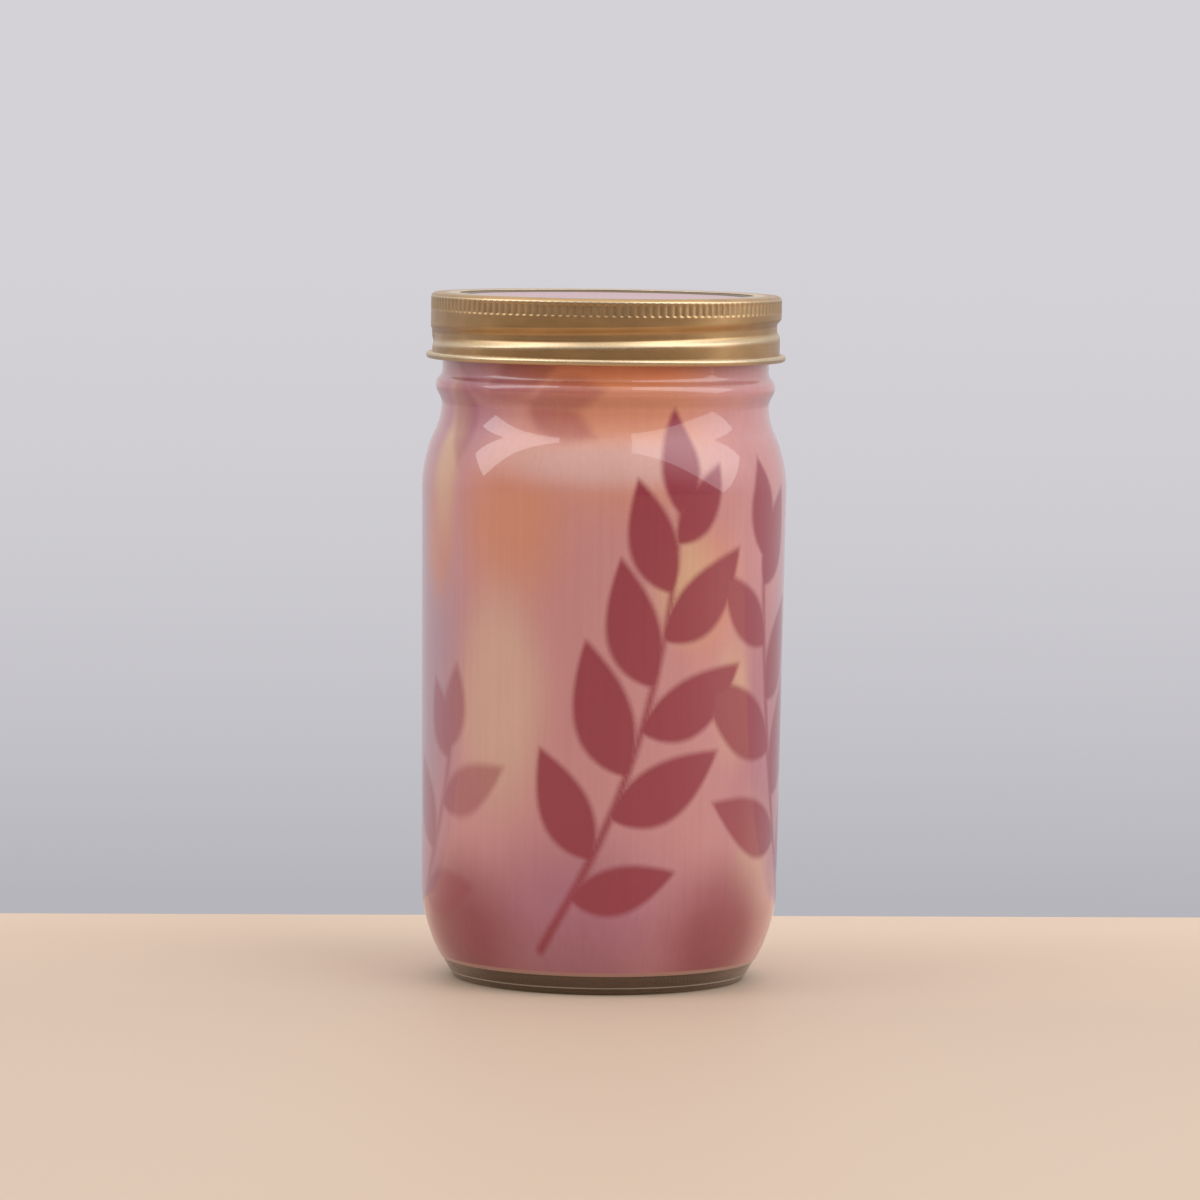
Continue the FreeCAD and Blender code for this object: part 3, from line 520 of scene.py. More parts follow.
def printed_film(tree, film, jar, drift, streaks, specks, waves):
    """Glossy shrink film: soft washes and leaf shadows in ink, under a clear skin.

    The film's draw leaves vertical streaks 1 mm apart, and the print a grain of 0.3 mm.
    """
    place = add(tree, "TexCoord", out="Object")
    colour = tone(film.blush)
    for ink, azimuth, height, half_width, half_height, cover in WASHES:
        bearing = math.radians(azimuth)
        middle = (math.sin(bearing) * jar.heel_radius, -math.cos(bearing) * jar.heel_radius, height)
        wash = add(tree, "Mapping", [place, middle, (0, 0, bearing),
                                     (half_width, half_width, half_height)], vector_type="TEXTURE")
        spot = add(tree, "TexGradient", [wash], "Fac", gradient_type="SPHERICAL")
        covered = add(tree, "MapRange", [spot, 0.0, 0.85, 0.0, cover],
                      interpolation_type="SMOOTHERSTEP")
        colour = add(tree, "Mix", [covered, colour, tone(getattr(film, ink))], **COLOUR_MIX)
    colour = add(tree, "Mix", [0.16, colour, add(tree, "CombineColor", [drift, drift, drift])],
                 **SOFT_LIGHT)
    # The leaf print is kept on the film's points: how far its edge is away, its blur and its ink
    away, soft, ink = (add(tree, "Attribute", out="Fac", attribute_name=name)
                       for name in ("leaf_distance", "leaf_softness", "leaf_strength"))
    ragged = add(tree, "MapRange", [specks, 0.25, 0.75, -0.12, 0.12])
    frayed = add(tree, "Math", [away, ragged], operation="ADD")
    inside = add(tree, "Math", [soft, -1.0], operation="MULTIPLY")
    shadow = add(tree, "MapRange", [frayed, soft, inside, 0.0, ink],
                 interpolation_type="SMOOTHSTEP")
    leaf = add(tree, "Mix", [0.04, tone(film.leaf), colour], **COLOUR_MIX)
    colour = add(tree, "Mix", [shadow, colour, leaf], **COLOUR_MIX)
    fine = add(tree, "Mix", [0.5, streaks, specks], **COLOUR_MIX)
    colour = add(tree, "Mix", [0.22, colour, fine], **SOFT_LIGHT)
    bare = add(tree, "MapRange", [add(tree, "SeparateXYZ", [place], "Z"),
                                  film.bottom + film.bare_edge,
                                  film.bottom + film.bare_edge * 0.8, 0.0, 0.9])
    return add(tree, "BsdfPrincipled", {
        "Base Color": add(tree, "Mix", [bare, colour, tone(film.bare)], **COLOUR_MIX),
        "Roughness": 0.42, "IOR": 1.5, "Coat Weight": 1.0, "Coat Roughness": 0.03, "Coat IOR": 1.5,
        "Coat Normal": add(tree, "Bump", {"Height": waves, "Distance": 0.00006, "Strength": 0.5})})


def film_backing(tree, film, cloud):
    """Opaque ink that shows only through the glass: matt and brown, a little uneven."""
    return add(tree, "BsdfPrincipled", {
        "Base Color": mottle(tree, film.backing, 0.6, cloud, 0.0, 1.0), "Roughness": 0.7})


def lacquer(tree, colour, worn, lines, cloud, specks):
    """Lacquered rolled tinplate: satin metal with fine lines round it, wear and painted highlights.
    """
    base = mottle(tree, colour, 0.8, cloud)
    # The paler gold marks wear and painted highlight
    rubbed = add(tree, "Attribute", out="Fac", attribute_name="rubbed")
    patchy_wear_and_highlight = add(tree, "Math", [rubbed, add(tree, "MapRange", [specks, 0.35, 0.65, 0.6, 1.0])],
                 operation="MULTIPLY")
    satin = add(tree, "Math", [add(tree, "MapRange", [lines, 0.3, 0.7, 0.32, 0.42]),
                               add(tree, "MapRange", [specks, 0.3, 0.7, -0.02, 0.04])],
                operation="ADD")
    return add(tree, "BsdfPrincipled", {
        "Base Color": add(tree, "Mix", [patchy_wear_and_highlight, base, tone(worn)], **COLOUR_MIX),
        "Metallic": 1.0, "Roughness": satin, "Coat Weight": 0.25, "Coat Roughness": 0.22,
        "Anisotropic": 0.3,
        "Normal": add(tree, "Bump", {"Height": lines, "Distance": 0.00001, "Strength": 0.5})})


def label_print(tree, lid, cloud, fibre):
    """Printed paper under a satin varnish: pale pink with soft clouds and a paper grain."""
    clouded = add(tree, "MapRange", [cloud, 0.3, 0.7, 0.0, 1.0])
    warm = [channel * part for channel, part in zip(lid.pink, (0.97, 0.82, 0.86))]
    colour = add(tree, "Mix", [clouded, tone(lid.pink), tone(warm)], **COLOUR_MIX)
    return add(tree, "BsdfPrincipled", {
        "Base Color": add(tree, "Mix", [0.12, colour, fibre], **SOFT_LIGHT),
        "Roughness": 0.38, "Coat Weight": 0.35, "Coat Roughness": 0.2,
        "Normal": add(tree, "Bump", {"Height": fibre, "Distance": 0.00001, "Strength": 0.4})})


def seal_rubber(tree, lid, pits):
    """Moulded sealing compound: soft, matt and slightly pitted."""
    return add(tree, "BsdfPrincipled", {
        "Base Color": mottle(tree, lid.compound, 0.7, pits, 0.0, 1.0), "Roughness": 0.62,
        "Normal": add(tree, "Bump", {"Height": pits, "Distance": 0.00003, "Strength": 0.5})})


def brushed_steel(tree, pot, lines, cloud):
    """Brushed stainless sheet: cool satin metal with fine lines round the pot."""
    return add(tree, "BsdfPrincipled", {
        "Base Color": mottle(tree, pot.steel, 0.82, cloud, 0.0, 1.0), "Metallic": 1.0,
        "Roughness": add(tree, "MapRange", [lines, 0.3, 0.7, 0.26, 0.42]), "Anisotropic": 0.4,
        "Normal": add(tree, "Bump", {"Height": lines, "Distance": 0.00001, "Strength": 0.5})})


def needled_felt(tree, pot, fibres):
    """Needled felt: matt, fuzzy at grazing light, with short tangled fibres."""
    return add(tree, "BsdfPrincipled", {
        "Base Color": mottle(tree, pot.felt, 0.72, fibres), "Roughness": 0.95,
        "Sheen Weight": 0.5, "Sheen Roughness": 0.5,
        "Normal": add(tree, "Bump", {"Height": fibres, "Distance": 0.0003, "Strength": 0.8})})


def pressed_coir(tree, pot, crumbs):
    """Pressed coir pith: dark crumbs with pale fibres 0.6 mm thick and 6 mm long in them."""
    lying = add(tree, "Mapping", {"Vector": add(tree, "TexCoord", out="Object"),
                                  "Rotation": (0.2, 0.1, 0.7), "Scale": (1800.0, 160.0, 1400.0)})
    strands = add(tree, "TexNoise", {"Vector": lying, "Scale": 1.0, "Detail": 2.0,
                                     "Distortion": 0.6})
    crumbly = mottle(tree, pot.coir, 0.55, crumbs)
    strewn = add(tree, "MapRange", [strands, 0.62, 0.72, 0.0, 0.85])
    rough = add(tree, "Mix", [0.5, crumbs, strands], **COLOUR_MIX)
    return add(tree, "BsdfPrincipled", {
        "Base Color": add(tree, "Mix", [strewn, crumbly, tone(pot.fibre)], **COLOUR_MIX),
        "Roughness": 0.95,
        "Normal": add(tree, "Bump", {"Height": rough, "Distance": 0.0006, "Strength": 0.9})})


def plain_paper(tree, paper, ink=None, panel=None, *, pulp, cloud):
    """Uncoated paper: matt, with pulp flecks.

    The panel of plain printed ink is given by its half width, its middle and its half height.
    """
    colour = mottle(tree, paper, 0.86, cloud)
    if panel:
        half_width, middle, half_height = panel
        place = add(tree, "TexCoord", out="Object")
        aside = add(tree, "Math", [add(tree, "SeparateXYZ", [place], "X")], operation="ABSOLUTE")
        wide = add(tree, "Math", [aside, half_width], operation="LESS_THAN")
        up = add(tree, "Math", [add(tree, "SeparateXYZ", [place], "Z"), middle, half_height],
                 operation="COMPARE")
        inked = add(tree, "Math", [wide, up], operation="MULTIPLY")
        thin = add(tree, "MapRange", [pulp, 0.2, 0.4, 0.6, 0.95])
        worn = add(tree, "Math", [inked, thin], operation="MULTIPLY")
        colour = add(tree, "Mix", [worn, colour, tone(ink)], **COLOUR_MIX)
    return add(tree, "BsdfPrincipled", {
        "Base Color": add(tree, "Mix", [0.2, colour, pulp], **SOFT_LIGHT), "Roughness": 0.88,
        "Normal": add(tree, "Bump", {"Height": pulp, "Distance": 0.00004, "Strength": 0.5})})


def seed_coat(tree, kit, ribs):
    """Dry seed coat: ribbed, brown and slightly waxy."""
    return add(tree, "BsdfPrincipled", {
        "Base Color": mottle(tree, kit.seed, 0.5, ribs, 0.35, 0.65), "Roughness": 0.5,
        "Normal": add(tree, "Bump", {"Height": ribs, "Distance": 0.00005, "Strength": 0.7})})


def table_paint(tree, stage, cloud):
    """Matt pale paint on the table top, with the faintest clouding and painted shade that darkens
    it towards the front.
    """
    colour = mottle(tree, stage.floor, 0.94, cloud, 0.0, 1.0)
    depth = add(tree, "SeparateXYZ", [add(tree, "TexCoord", out="Object")], "Y")
    # Painted shade: the table is drawn darker towards the front than behind the jar
    behind = add(tree, "MapRange", [depth, -0.06, 0.10, 0.0, 1.0])
    return add(tree, "BsdfPrincipled", {
        "Base Color": add(tree, "Mix", [behind, tone(stage.floor, 0.78), colour], **COLOUR_MIX),
        "Roughness": 0.6})


def jar_outside(jar, out):
    """Corners of the jar's outside from the neck to the heel, moved out by a distance."""
    return [
        (jar.neck_radius + out, jar.neck_bottom, 0.0008, 4),
        (jar.bead_radius + out, jar.bead_height, 0.002, 8),
        (jar.waist_radius + out, jar.bead_bottom, 0.0008, 4),
        (jar.waist_radius + out, jar.waist_bottom, 0.0036, 10),
        (jar.shoulder_radius + out, jar.shoulder_height, 0.0072, 16),
        (jar.heel_radius + out, jar.heel_height, 0.0092, 20),
    ]


# The thread's ridge: half heights of its crest and of its root, and the angle over which its ends
# fade. The grip marks fade within MARK_REACH of the foot's outer edge.
RIDGE_CREST, RIDGE_ROOT, RIDGE_FADE = 0.0006, 0.0016, 0.3
MARK_REACH = 0.0009
FINISH_MARGIN = 0.0002
LIP_MARGIN = 0.0004


def glass_mesh(jar):
    """The jar: one turned section, its thread pushed out and grip marks cut in its foot ring."""
    bearing_inside = jar.foot_radius - jar.bearing_width
    threaded = jar.finish_radius - FINISH_MARGIN
    mesh = section([
        (jar.mouth_radius, jar.lip_height, jar.lip_reach, 5),
        (jar.finish_radius, jar.lip_height, jar.lip_reach, 6),
        (jar.finish_radius, jar.finish_bottom, jar.finish_step, 2),
        (jar.neck_radius, jar.finish_bottom - jar.finish_step, 0.0002, 2),
        *jar_outside(jar, 0.0),
        (jar.foot_radius, 0.0, jar.foot_reach, 4),
        (bearing_inside, 0.0, jar.foot_reach, 3),
        (bearing_inside - jar.push_up_slope, jar.push_up, 0.0016, 4),
        (0.0, jar.push_up),
        (0.0, jar.floor_height),
        (jar.heel_radius - jar.wall - 0.0002, jar.floor_height, 0.008, 8),
        (jar.shoulder_radius - jar.wall, jar.shoulder_height - jar.wall, 0.005, 6),
        (jar.mouth_radius, jar.flare_height, 0.0035, 5),
    ])

    def longest(edge):
        middle = middle_of(edge)
        on_finish = jar.finish_bottom < middle.z < jar.lip_height - LIP_MARGIN
        return LONGEST["thread" if on_finish and middle.x > threaded else "body"]

    divide(mesh, longest)
    turn(mesh, steps=jar.stipple_count // 2)
    depth = jar.thread_radius - jar.finish_radius
    for vert in mesh.verts:
        radius = math.hypot(vert.co.x, vert.co.y)
        if radius > threaded and vert.co.z > jar.finish_bottom:
            raised = 0.0
            for above, to_end in from_helix(vert.co, jar.thread_start, jar.thread_start_height,
                                            jar.thread_turns, jar.thread_pitch):
                ridge = 1 - smooth(RIDGE_CREST, RIDGE_ROOT, abs(above))
                raised = max(raised, ridge * smooth(0.0, RIDGE_FADE, to_end))
            if raised:
                set_radius(vert, radius + depth * raised)
        if vert.co.z < MARK_REACH:
            near_edge = smooth(MARK_REACH, 0.0, abs(radius - jar.foot_radius))
            mark = 0.5 + 0.5 * math.cos(jar.stipple_count * math.atan2(vert.co.y, vert.co.x))
            vert.co.z += jar.stipple_depth * mark * near_edge
    return mesh


def film_mesh(film, jar):
    """The sleeve: an outer skin fine enough to carry the print, and a plain inner skin."""
    outer = film.gap + film.thickness
    foot_slope = (jar.heel_radius - jar.foot_radius) / jar.heel_height
    foot = jar.foot_radius + foot_slope * film.bottom
    mesh = section([
        (jar.neck_radius + outer, film.top, film.cut_reach, 2),
        *jar_outside(jar, outer),
        (foot + outer, film.bottom, film.cut_reach, 2),
        (foot + film.gap, film.bottom),
        *jar_outside(jar, film.gap)[::-1],
        (jar.neck_radius + film.gap, film.top),
    ])
    # The two longest edges are the straight sides; the inner one has no print and stays whole
    walls = sorted(mesh.edges, key=lambda edge: edge.calc_length())[-2:]
    inner_wall = min(walls, key=lambda edge: middle_of(edge).x)
    divide(mesh, lambda edge: math.inf if edge == inner_wall else LONGEST["print"])
    turn(mesh, steps=50)
    # The print covers the outer skin and the cut edges, and the backing covers the inner skin
    for face in mesh.faces:
        middle = face.calc_center_median()
        outward = face.normal.x * middle.x + face.normal.y * middle.y
        face.material_index = 0 if outward > 0 or abs(face.normal.z) > 0.9 else 1
    return mesh


# Sprigs of the print: foot, bend and tip of the stem as (distance round the body from the front,
# height), number of leaves, leaf length and half width, blur of the edge, strength of the ink, and
# the seed of its random draws
SPRIGS = [
    (((-0.016, 0.012), (0.016, 0.060), (0.020, 0.124)), 9, 0.031, 0.0068, 1.2, 1.0, 3),
    (((0.070, 0.020), (0.052, 0.050), (0.050, 0.112)), 7, 0.030, 0.0070, 1.2, 0.95, 5),
    (((-0.066, 0.016), (-0.050, 0.040), (-0.046, 0.062)), 4, 0.026, 0.0062, 1.6, 0.60, 8),
    (((-0.050, 0.160), (-0.038, 0.150), (-0.020, 0.152)), 3, 0.024, 0.0060, 2.2, 0.45, 12),
    (((0.128, 0.014), (0.108, 0.070), (0.122, 0.128)), 9, 0.032, 0.0068, 0.5, 0.95, 21),
    (((-0.118, 0.130), (-0.104, 0.090), (-0.092, 0.050)), 6, 0.029, 0.0064, 1.0, 0.75, 34),
]
STEM_HALF_WIDTH = 0.0009
STEM_WIDEST, STEM_TAPER = 1.25, 0.6
STEM_STEPS = 24
# Where the first leaf stands and how much of the stem carries leaves, as shares of its length
LEAVES_START, LEAVES_SPAN = 0.14, 0.80
# Degrees that a leaf turns out from the stem: at the foot, how many fewer at the tip, and at random
LEAF_TURN, LEAF_TURN_LESS, LEAF_TURN_DRAW = 62, 24, 8
# Share of the full size: at either end of the stem, how much more in the middle, and at random
LEAF_GROWN, LEAF_SWELL, LEAF_DRAW = 0.78, 0.30, 0.08
LEAF_BEND = (3.0, 7.0)
# Length and half width of the leaf at the tip, as shares of the full size, and its bend
TIP_LEAF = (0.85, 0.8, 2.0)
BEYOND_TIP = 10
NO_LEAF_NEAR = 9.0


def stem_point(stem, part):
    """Place and direction at a share of a stem's length."""
    foot, bend, tip = (numpy.array(point) for point in stem)
    place = (1 - part) ** 2 * foot + 2 * part * (1 - part) * bend + part ** 2 * tip
    ahead = 2 * (1 - part) * (bend - foot) + 2 * part * (tip - bend)
    return place, math.atan2(ahead[1], ahead[0])


def sprig_leaves(stem, number, long, half_width, draw):
    """Base, direction, length, half width and bend of each leaf, set alternately on the stem."""
    leaves = []
    for index in range(number):
        part = LEAVES_START + LEAVES_SPAN * index / max(number - 1, 1)
        base, ahead = stem_point(stem, part)
        side = 1 if index % 2 else -1
        turn_out = math.radians(LEAF_TURN - LEAF_TURN_LESS * part
                                + draw.uniform(-LEAF_TURN_DRAW, LEAF_TURN_DRAW))
        grown = (LEAF_GROWN + LEAF_SWELL * math.sin(math.pi * part)
                 + draw.uniform(-LEAF_DRAW, LEAF_DRAW))
        leaves.append((base, ahead + side * turn_out, long * grown, half_width * grown,
                       -side * draw.uniform(*LEAF_BEND)))
    tip, ahead = stem_point(stem, 1.0)
    leaves.append((tip, ahead, long * TIP_LEAF[0], half_width * TIP_LEAF[1], TIP_LEAF[2]))
    return leaves


def sprig_distance(stem, leaves, around, height, girth):
    """Distance in metres from each point of the film to the sprig's edge, negative inside it."""
    middle = stem[1][0]
    across = (around - middle + girth / 2) % girth - girth / 2 + middle
    nearest = numpy.full(len(around), 1.0)
    for base, direction, long, half_width, bend in leaves:
        along = (across - base[0]) * math.cos(direction) + (height - base[1]) * math.sin(direction)
        aside = (height - base[1]) * math.cos(direction) - (across - base[0]) * math.sin(direction)
        part = numpy.clip(along / long, 0.0, 1.0)
        aside = numpy.abs(aside - bend * along * numpy.abs(along))
        edge = half_width * numpy.sin(math.pi * part ** 0.82) ** 0.9
        beyond = numpy.maximum(along - long, 0.0) + numpy.maximum(-along, 0.0)
        nearest = numpy.minimum(nearest, numpy.hypot(aside - edge, beyond)
                                * numpy.sign(aside - edge + beyond * BEYOND_TIP))
    for step in range(STEM_STEPS):
        start, _ = stem_point(stem, step / STEM_STEPS)
        end, _ = stem_point(stem, (step + 1) / STEM_STEPS)
        run = end - start
        part = numpy.clip(((across - start[0]) * run[0] + (height - start[1]) * run[1])
                          / (run @ run), 0.0, 1.0)
        away = numpy.hypot(across - start[0] - part * run[0], height - start[1] - part * run[1])
        taper = STEM_HALF_WIDTH * (STEM_WIDEST - STEM_TAPER * step / STEM_STEPS)
        nearest = numpy.minimum(nearest, away - taper)
    return nearest


def print_leaves(film_object, jar):
    """Store the leaf print on the film: distance to the nearest edge in mm, blur and ink."""
    data = film_object.data
    places = numpy.empty(len(data.vertices) * 3, numpy.float32)
    data.vertices.foreach_get("co", places)
    places = places.reshape(-1, 3).astype(float)
    around = numpy.arctan2(places[:, 0], -places[:, 1]) * jar.shoulder_radius
    girth = FULL_TURN * jar.shoulder_radius
    distance = numpy.full(len(places), NO_LEAF_NEAR)
    softness = numpy.full(len(places), 1.0)
    strength = numpy.zeros(len(places))
    for stem, number, long, half_width, blur, ink, seed in SPRIGS:
        leaves = sprig_leaves(stem, number, long, half_width, random.Random(seed))
        away = sprig_distance(stem, leaves, around, places[:, 2], girth)
        away = away * MM_IN_METRE / blur
        nearer = away < distance
        distance[nearer] = away[nearer]
        softness[nearer] = blur
        strength[nearer] = ink
    distance = distance * softness
    for name, values in (("leaf_distance", distance), ("leaf_softness", softness),
                         ("leaf_strength", strength)):
        layer = data.attributes.new(name, "FLOAT", "POINT")
        layer.data.foreach_set("value", values.astype(numpy.float32))


# The band's rolled thread, in heights above its helix: where the wall above it draws in to the
# skirt, the slopes over and under its floor, and the two flanks of the bright lip below it, where
# a paler gold is painted on as highlight. Then the angles over which the step and the groove fade
# at its ends.
GROOVE_STEP = (-0.0015, 0.0005)
GROOVE_UPPER, GROOVE_LOWER = (-0.0003, 0.0016), (-0.0036, -0.0018)
LIP_LOWER, LIP_UPPER = (-0.0042, -0.0034), (-0.0018, -0.0028)
STEP_FADE, GROOVE_FADE = 0.5, 0.16
KNURL_RUN_IN, KNURL_RUN_OUT = 0.0004, 0.0006
CURL_CORNER = 0.99
# How much paler gold: painted highlight on the flange, curl top, lip and top edge; wear under the
# curl and on ribs
PAINTED_HIGHLIGHT_TOP, RUBBED_CURL, RUBBED_RIB, PAINTED_HIGHLIGHT_LIP = 0.7, 0.35, 0.2, 0.55
PAINTED_HIGHLIGHT_EDGE = (0.0013, 0.0006)


def band_mesh(band, jar):
    """The band: flange, knurled wall, rolled thread groove, skirt and curl, as one skin."""
    tin = band.tin
    curl = band.curl_radius
    skirt_inside = band.skirt_radius - tin
    curl_outside = skirt_inside + 2 * curl
    taper = (band.taper_height - band.taper_length / 2, band.taper_height + band.taper_length / 2)
    mesh = section([
        (band.opening_radius, band.top, band.opening_reach, 2),
        (band.wall_radius, band.top, band.corner_reach, 8),
        (band.wall_radius, taper[1]),
        (band.skirt_radius, taper[0]),
        (band.skirt_radius, band.curl_height + curl * 0.86),
        (curl_outside, band.curl_height + curl, curl * CURL_CORNER, 7),
        (curl_outside, band.curl_height - curl, curl * CURL_CORNER, 7),
        (skirt_inside, band.curl_height - curl, curl * CURL_CORNER, 6),
        (skirt_inside, taper[0]),
        (band.wall_radius - tin, taper[1]),
        (band.wall_radius - tin, band.top - tin, band.corner_reach - tin, 5),
        (band.opening_radius, band.top - tin, band.opening_reach, 2),
    ])

    def longest(edge):
        middle = middle_of(edge)
        outside = middle.x > (band.skirt_radius if middle.z < band.taper_height
                              else band.wall_radius) - tin / 2
        if not band.curl_height + curl < middle.z < band.top - band.corner_reach:
            return LONGEST["plain_band"]
        return LONGEST["groove" if outside else "inner_groove"]

    divide(mesh, longest)
    turn(mesh, steps=6 * band.knurl_count // 8)
    rubbed = mesh.verts.layers.float.new("rubbed")
    for vert in mesh.verts:
        radius = math.hypot(vert.co.x, vert.co.y)
        height = vert.co.z
        drop = band.top - height
        step = smooth(*taper, height)
        inner = radius < band.skirt_radius + (band.wall_radius - band.skirt_radius) * step - tin / 2
        passes = from_helix(vert.co, band.groove_start, band.groove_start_height,
                            band.groove_turns, jar.thread_pitch)
        for above, to_end in passes:
            step += (smooth(*GROOVE_STEP, above) - step) * smooth(0.0, STEP_FADE, to_end)
        wall = band.skirt_radius + (band.wall_radius - band.skirt_radius) * step
        # Painted highlight on the flange and the curl's upper face; wear under the curl
        if height <= band.curl_height + curl * 0.9 or radius <= band.opening_radius + 0.004:
            vert[rubbed] = PAINTED_HIGHLIGHT_TOP if height > band.curl_height else RUBBED_CURL
            continue
        base = wall - tin if inner else wall
        pressed = lip = 0.0
        for above, to_end in passes:
            kept = smooth(0.0, GROOVE_FADE, to_end)
            pressed = max(pressed, (1 - smooth(*GROOVE_UPPER, above))
                          * smooth(*GROOVE_LOWER, above) * kept)
            # The lip's mask is where a paler gold is painted as highlight
            lip = max(lip, smooth(*LIP_LOWER, above) * smooth(*LIP_UPPER, above) * kept)
        if band.corner_reach < drop:
            floor = band.groove_radius - (tin if inner else 0.0)
            radius = base + (floor - base) * pressed
        ends = smooth(band.knurl_top - KNURL_RUN_IN, band.knurl_top + KNURL_RUN_OUT, drop) * (
            1 - smooth(band.knurl_bottom - KNURL_RUN_IN, band.knurl_bottom, drop))
        rib = abs(math.sin(band.knurl_count / 2 * math.atan2(vert.co.y, vert.co.x)))
        if not inner:
            radius -= band.knurl_depth * (1 - rib) * ends
            # Paler gold: wear on the rib crests, painted highlight on the top edge and the lip
            vert[rubbed] = max(RUBBED_RIB * rib * ends, smooth(*PAINTED_HIGHLIGHT_EDGE, drop),
                               PAINTED_HIGHLIGHT_LIP * lip)
        set_radius(vert, radius)
    return mesh


def lid_mesh(lid):
    """The lid: a rim turned down over the seal, a groove beside it and a sunk centre panel."""
    step = lid.panel_radius + lid.panel_step
    rim_inside = lid.rim_radius - lid.tin
    under = lid.top - lid.tin
    mesh = section([
        (0.0, lid.panel_height),
        (lid.panel_radius, lid.panel_height, lid.bend_reach, 3),
        (step, lid.top, lid.bend_reach, 3),
        (lid.rim_radius, lid.top, 0.0005, 4),
        (lid.rim_radius, lid.rim_bottom, 0.0001, 2),
        (rim_inside, lid.rim_bottom, 0.0001, 2),
        (rim_inside, under, 0.0002, 3),
        (step, under, lid.bend_reach, 3),
        (lid.panel_radius, lid.panel_height - lid.tin, lid.bend_reach, 3),
        (0.0, lid.panel_height - lid.tin),
    ])
    divide(mesh, LONGEST["lid"])
    turn(mesh, steps=24)
    return mesh


def label_mesh(lid):
    """The printed face: a thin disc with a soft cut edge."""
    mesh = section([
        (0.0, lid.label_top),
        (lid.label_radius, lid.label_top, 0.00006, 2),
        (lid.label_radius, lid.panel_height),
        (0.0, lid.panel_height),
    ])
    divide(mesh, LONGEST["label"])
    turn(mesh, steps=24)
    return mesh


# Right tail of the wick: how far under the pot it starts to move, its waves in radians a metre and
# their size, how far its end curls, and how uneven the felt's cut edges are
TAIL_START = 0.004
WAVES_PER_METRE, WAVE_SIZE = 85, 0.0012
TAIL_CURL = 0.0016
EDGE_UNEVEN = 0.0004


def wick_mesh(pot):
    """Felt strip over the pot's floor: its left tail hangs straight, and its right one waves."""
    low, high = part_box("wick")
    half = pot.wick_spacing / 2
    top = high.z - pot.wick_thickness / 2
    mesh = strip([(x, low.y, z) for x, z in ((-half, low.z), (-half, top), (half, top),
                                             (half, low.z))], pot.wick_bend, 6)
    divide(mesh, LONGEST["wick"])
    sweep(mesh, Vector((0, pot.wick_width, 0)), steps=8)
    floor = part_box("pot_base")[0].z - TAIL_START
    for vert in mesh.verts:
        hang = smooth(floor, low.z, vert.co.z)
        side = 1 if vert.co.x > 0 else -1
        wave = math.sin(vert.co.z * WAVES_PER_METRE + side) * WAVE_SIZE + side * TAIL_CURL * hang
        vert.co.x += wave * hang
        uneven = noise.noise(Vector((vert.co.x * 60, 3.1, vert.co.z * 110)))
        vert.co.y += uneven * EDGE_UNEVEN
        vert.co.y = min(max(vert.co.y, low.y), high.y)
    return mesh


# Crumbs of the coir: turns of the noise in a metre, its mean, and how deep they are
CRUMBS_PER_METRE, CRUMB_MEAN, CRUMB_DEPTH = 320, 1.35, 0.0006
COIR_FOOT = 0.001


def coir_mesh():
    """Coir disc: a pressed puck with a crumbly face and rounded rim."""
    low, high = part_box("coir_disc")
    mesh = section([(0.0, low.z), (high.x, low.z, 0.002, 4), (high.x, high.z, 0.002, 5),
                    (0.0, high.z)])
    divide(mesh, LONGEST["coir"])
    turn(mesh, steps=25)
    for vert in mesh.verts:
        crumb = noise.turbulence(vert.co * CRUMBS_PER_METRE, 3, False) - CRUMB_MEAN
        inward = CRUMB_DEPTH * crumb
        if vert.co.z > low.z + COIR_FOOT:
            vert.co.z = min(vert.co.z + inward, high.z)
        radius = math.hypot(vert.co.x, vert.co.y)
        if radius > high.x * 0.9:
            set_radius(vert, min(radius + inward, high.x))
    return mesh


SEALED_HALF = 0.0003
CRIMP_DEPTH = 0.0001
# Lumps of the filling: turns of the noise in a metre and size, large and small; and the mean sag
LARGE_LUMPS, SMALL_LUMPS = (110, 0.16), (330, 0.06)
LUMP_SAG = 0.16


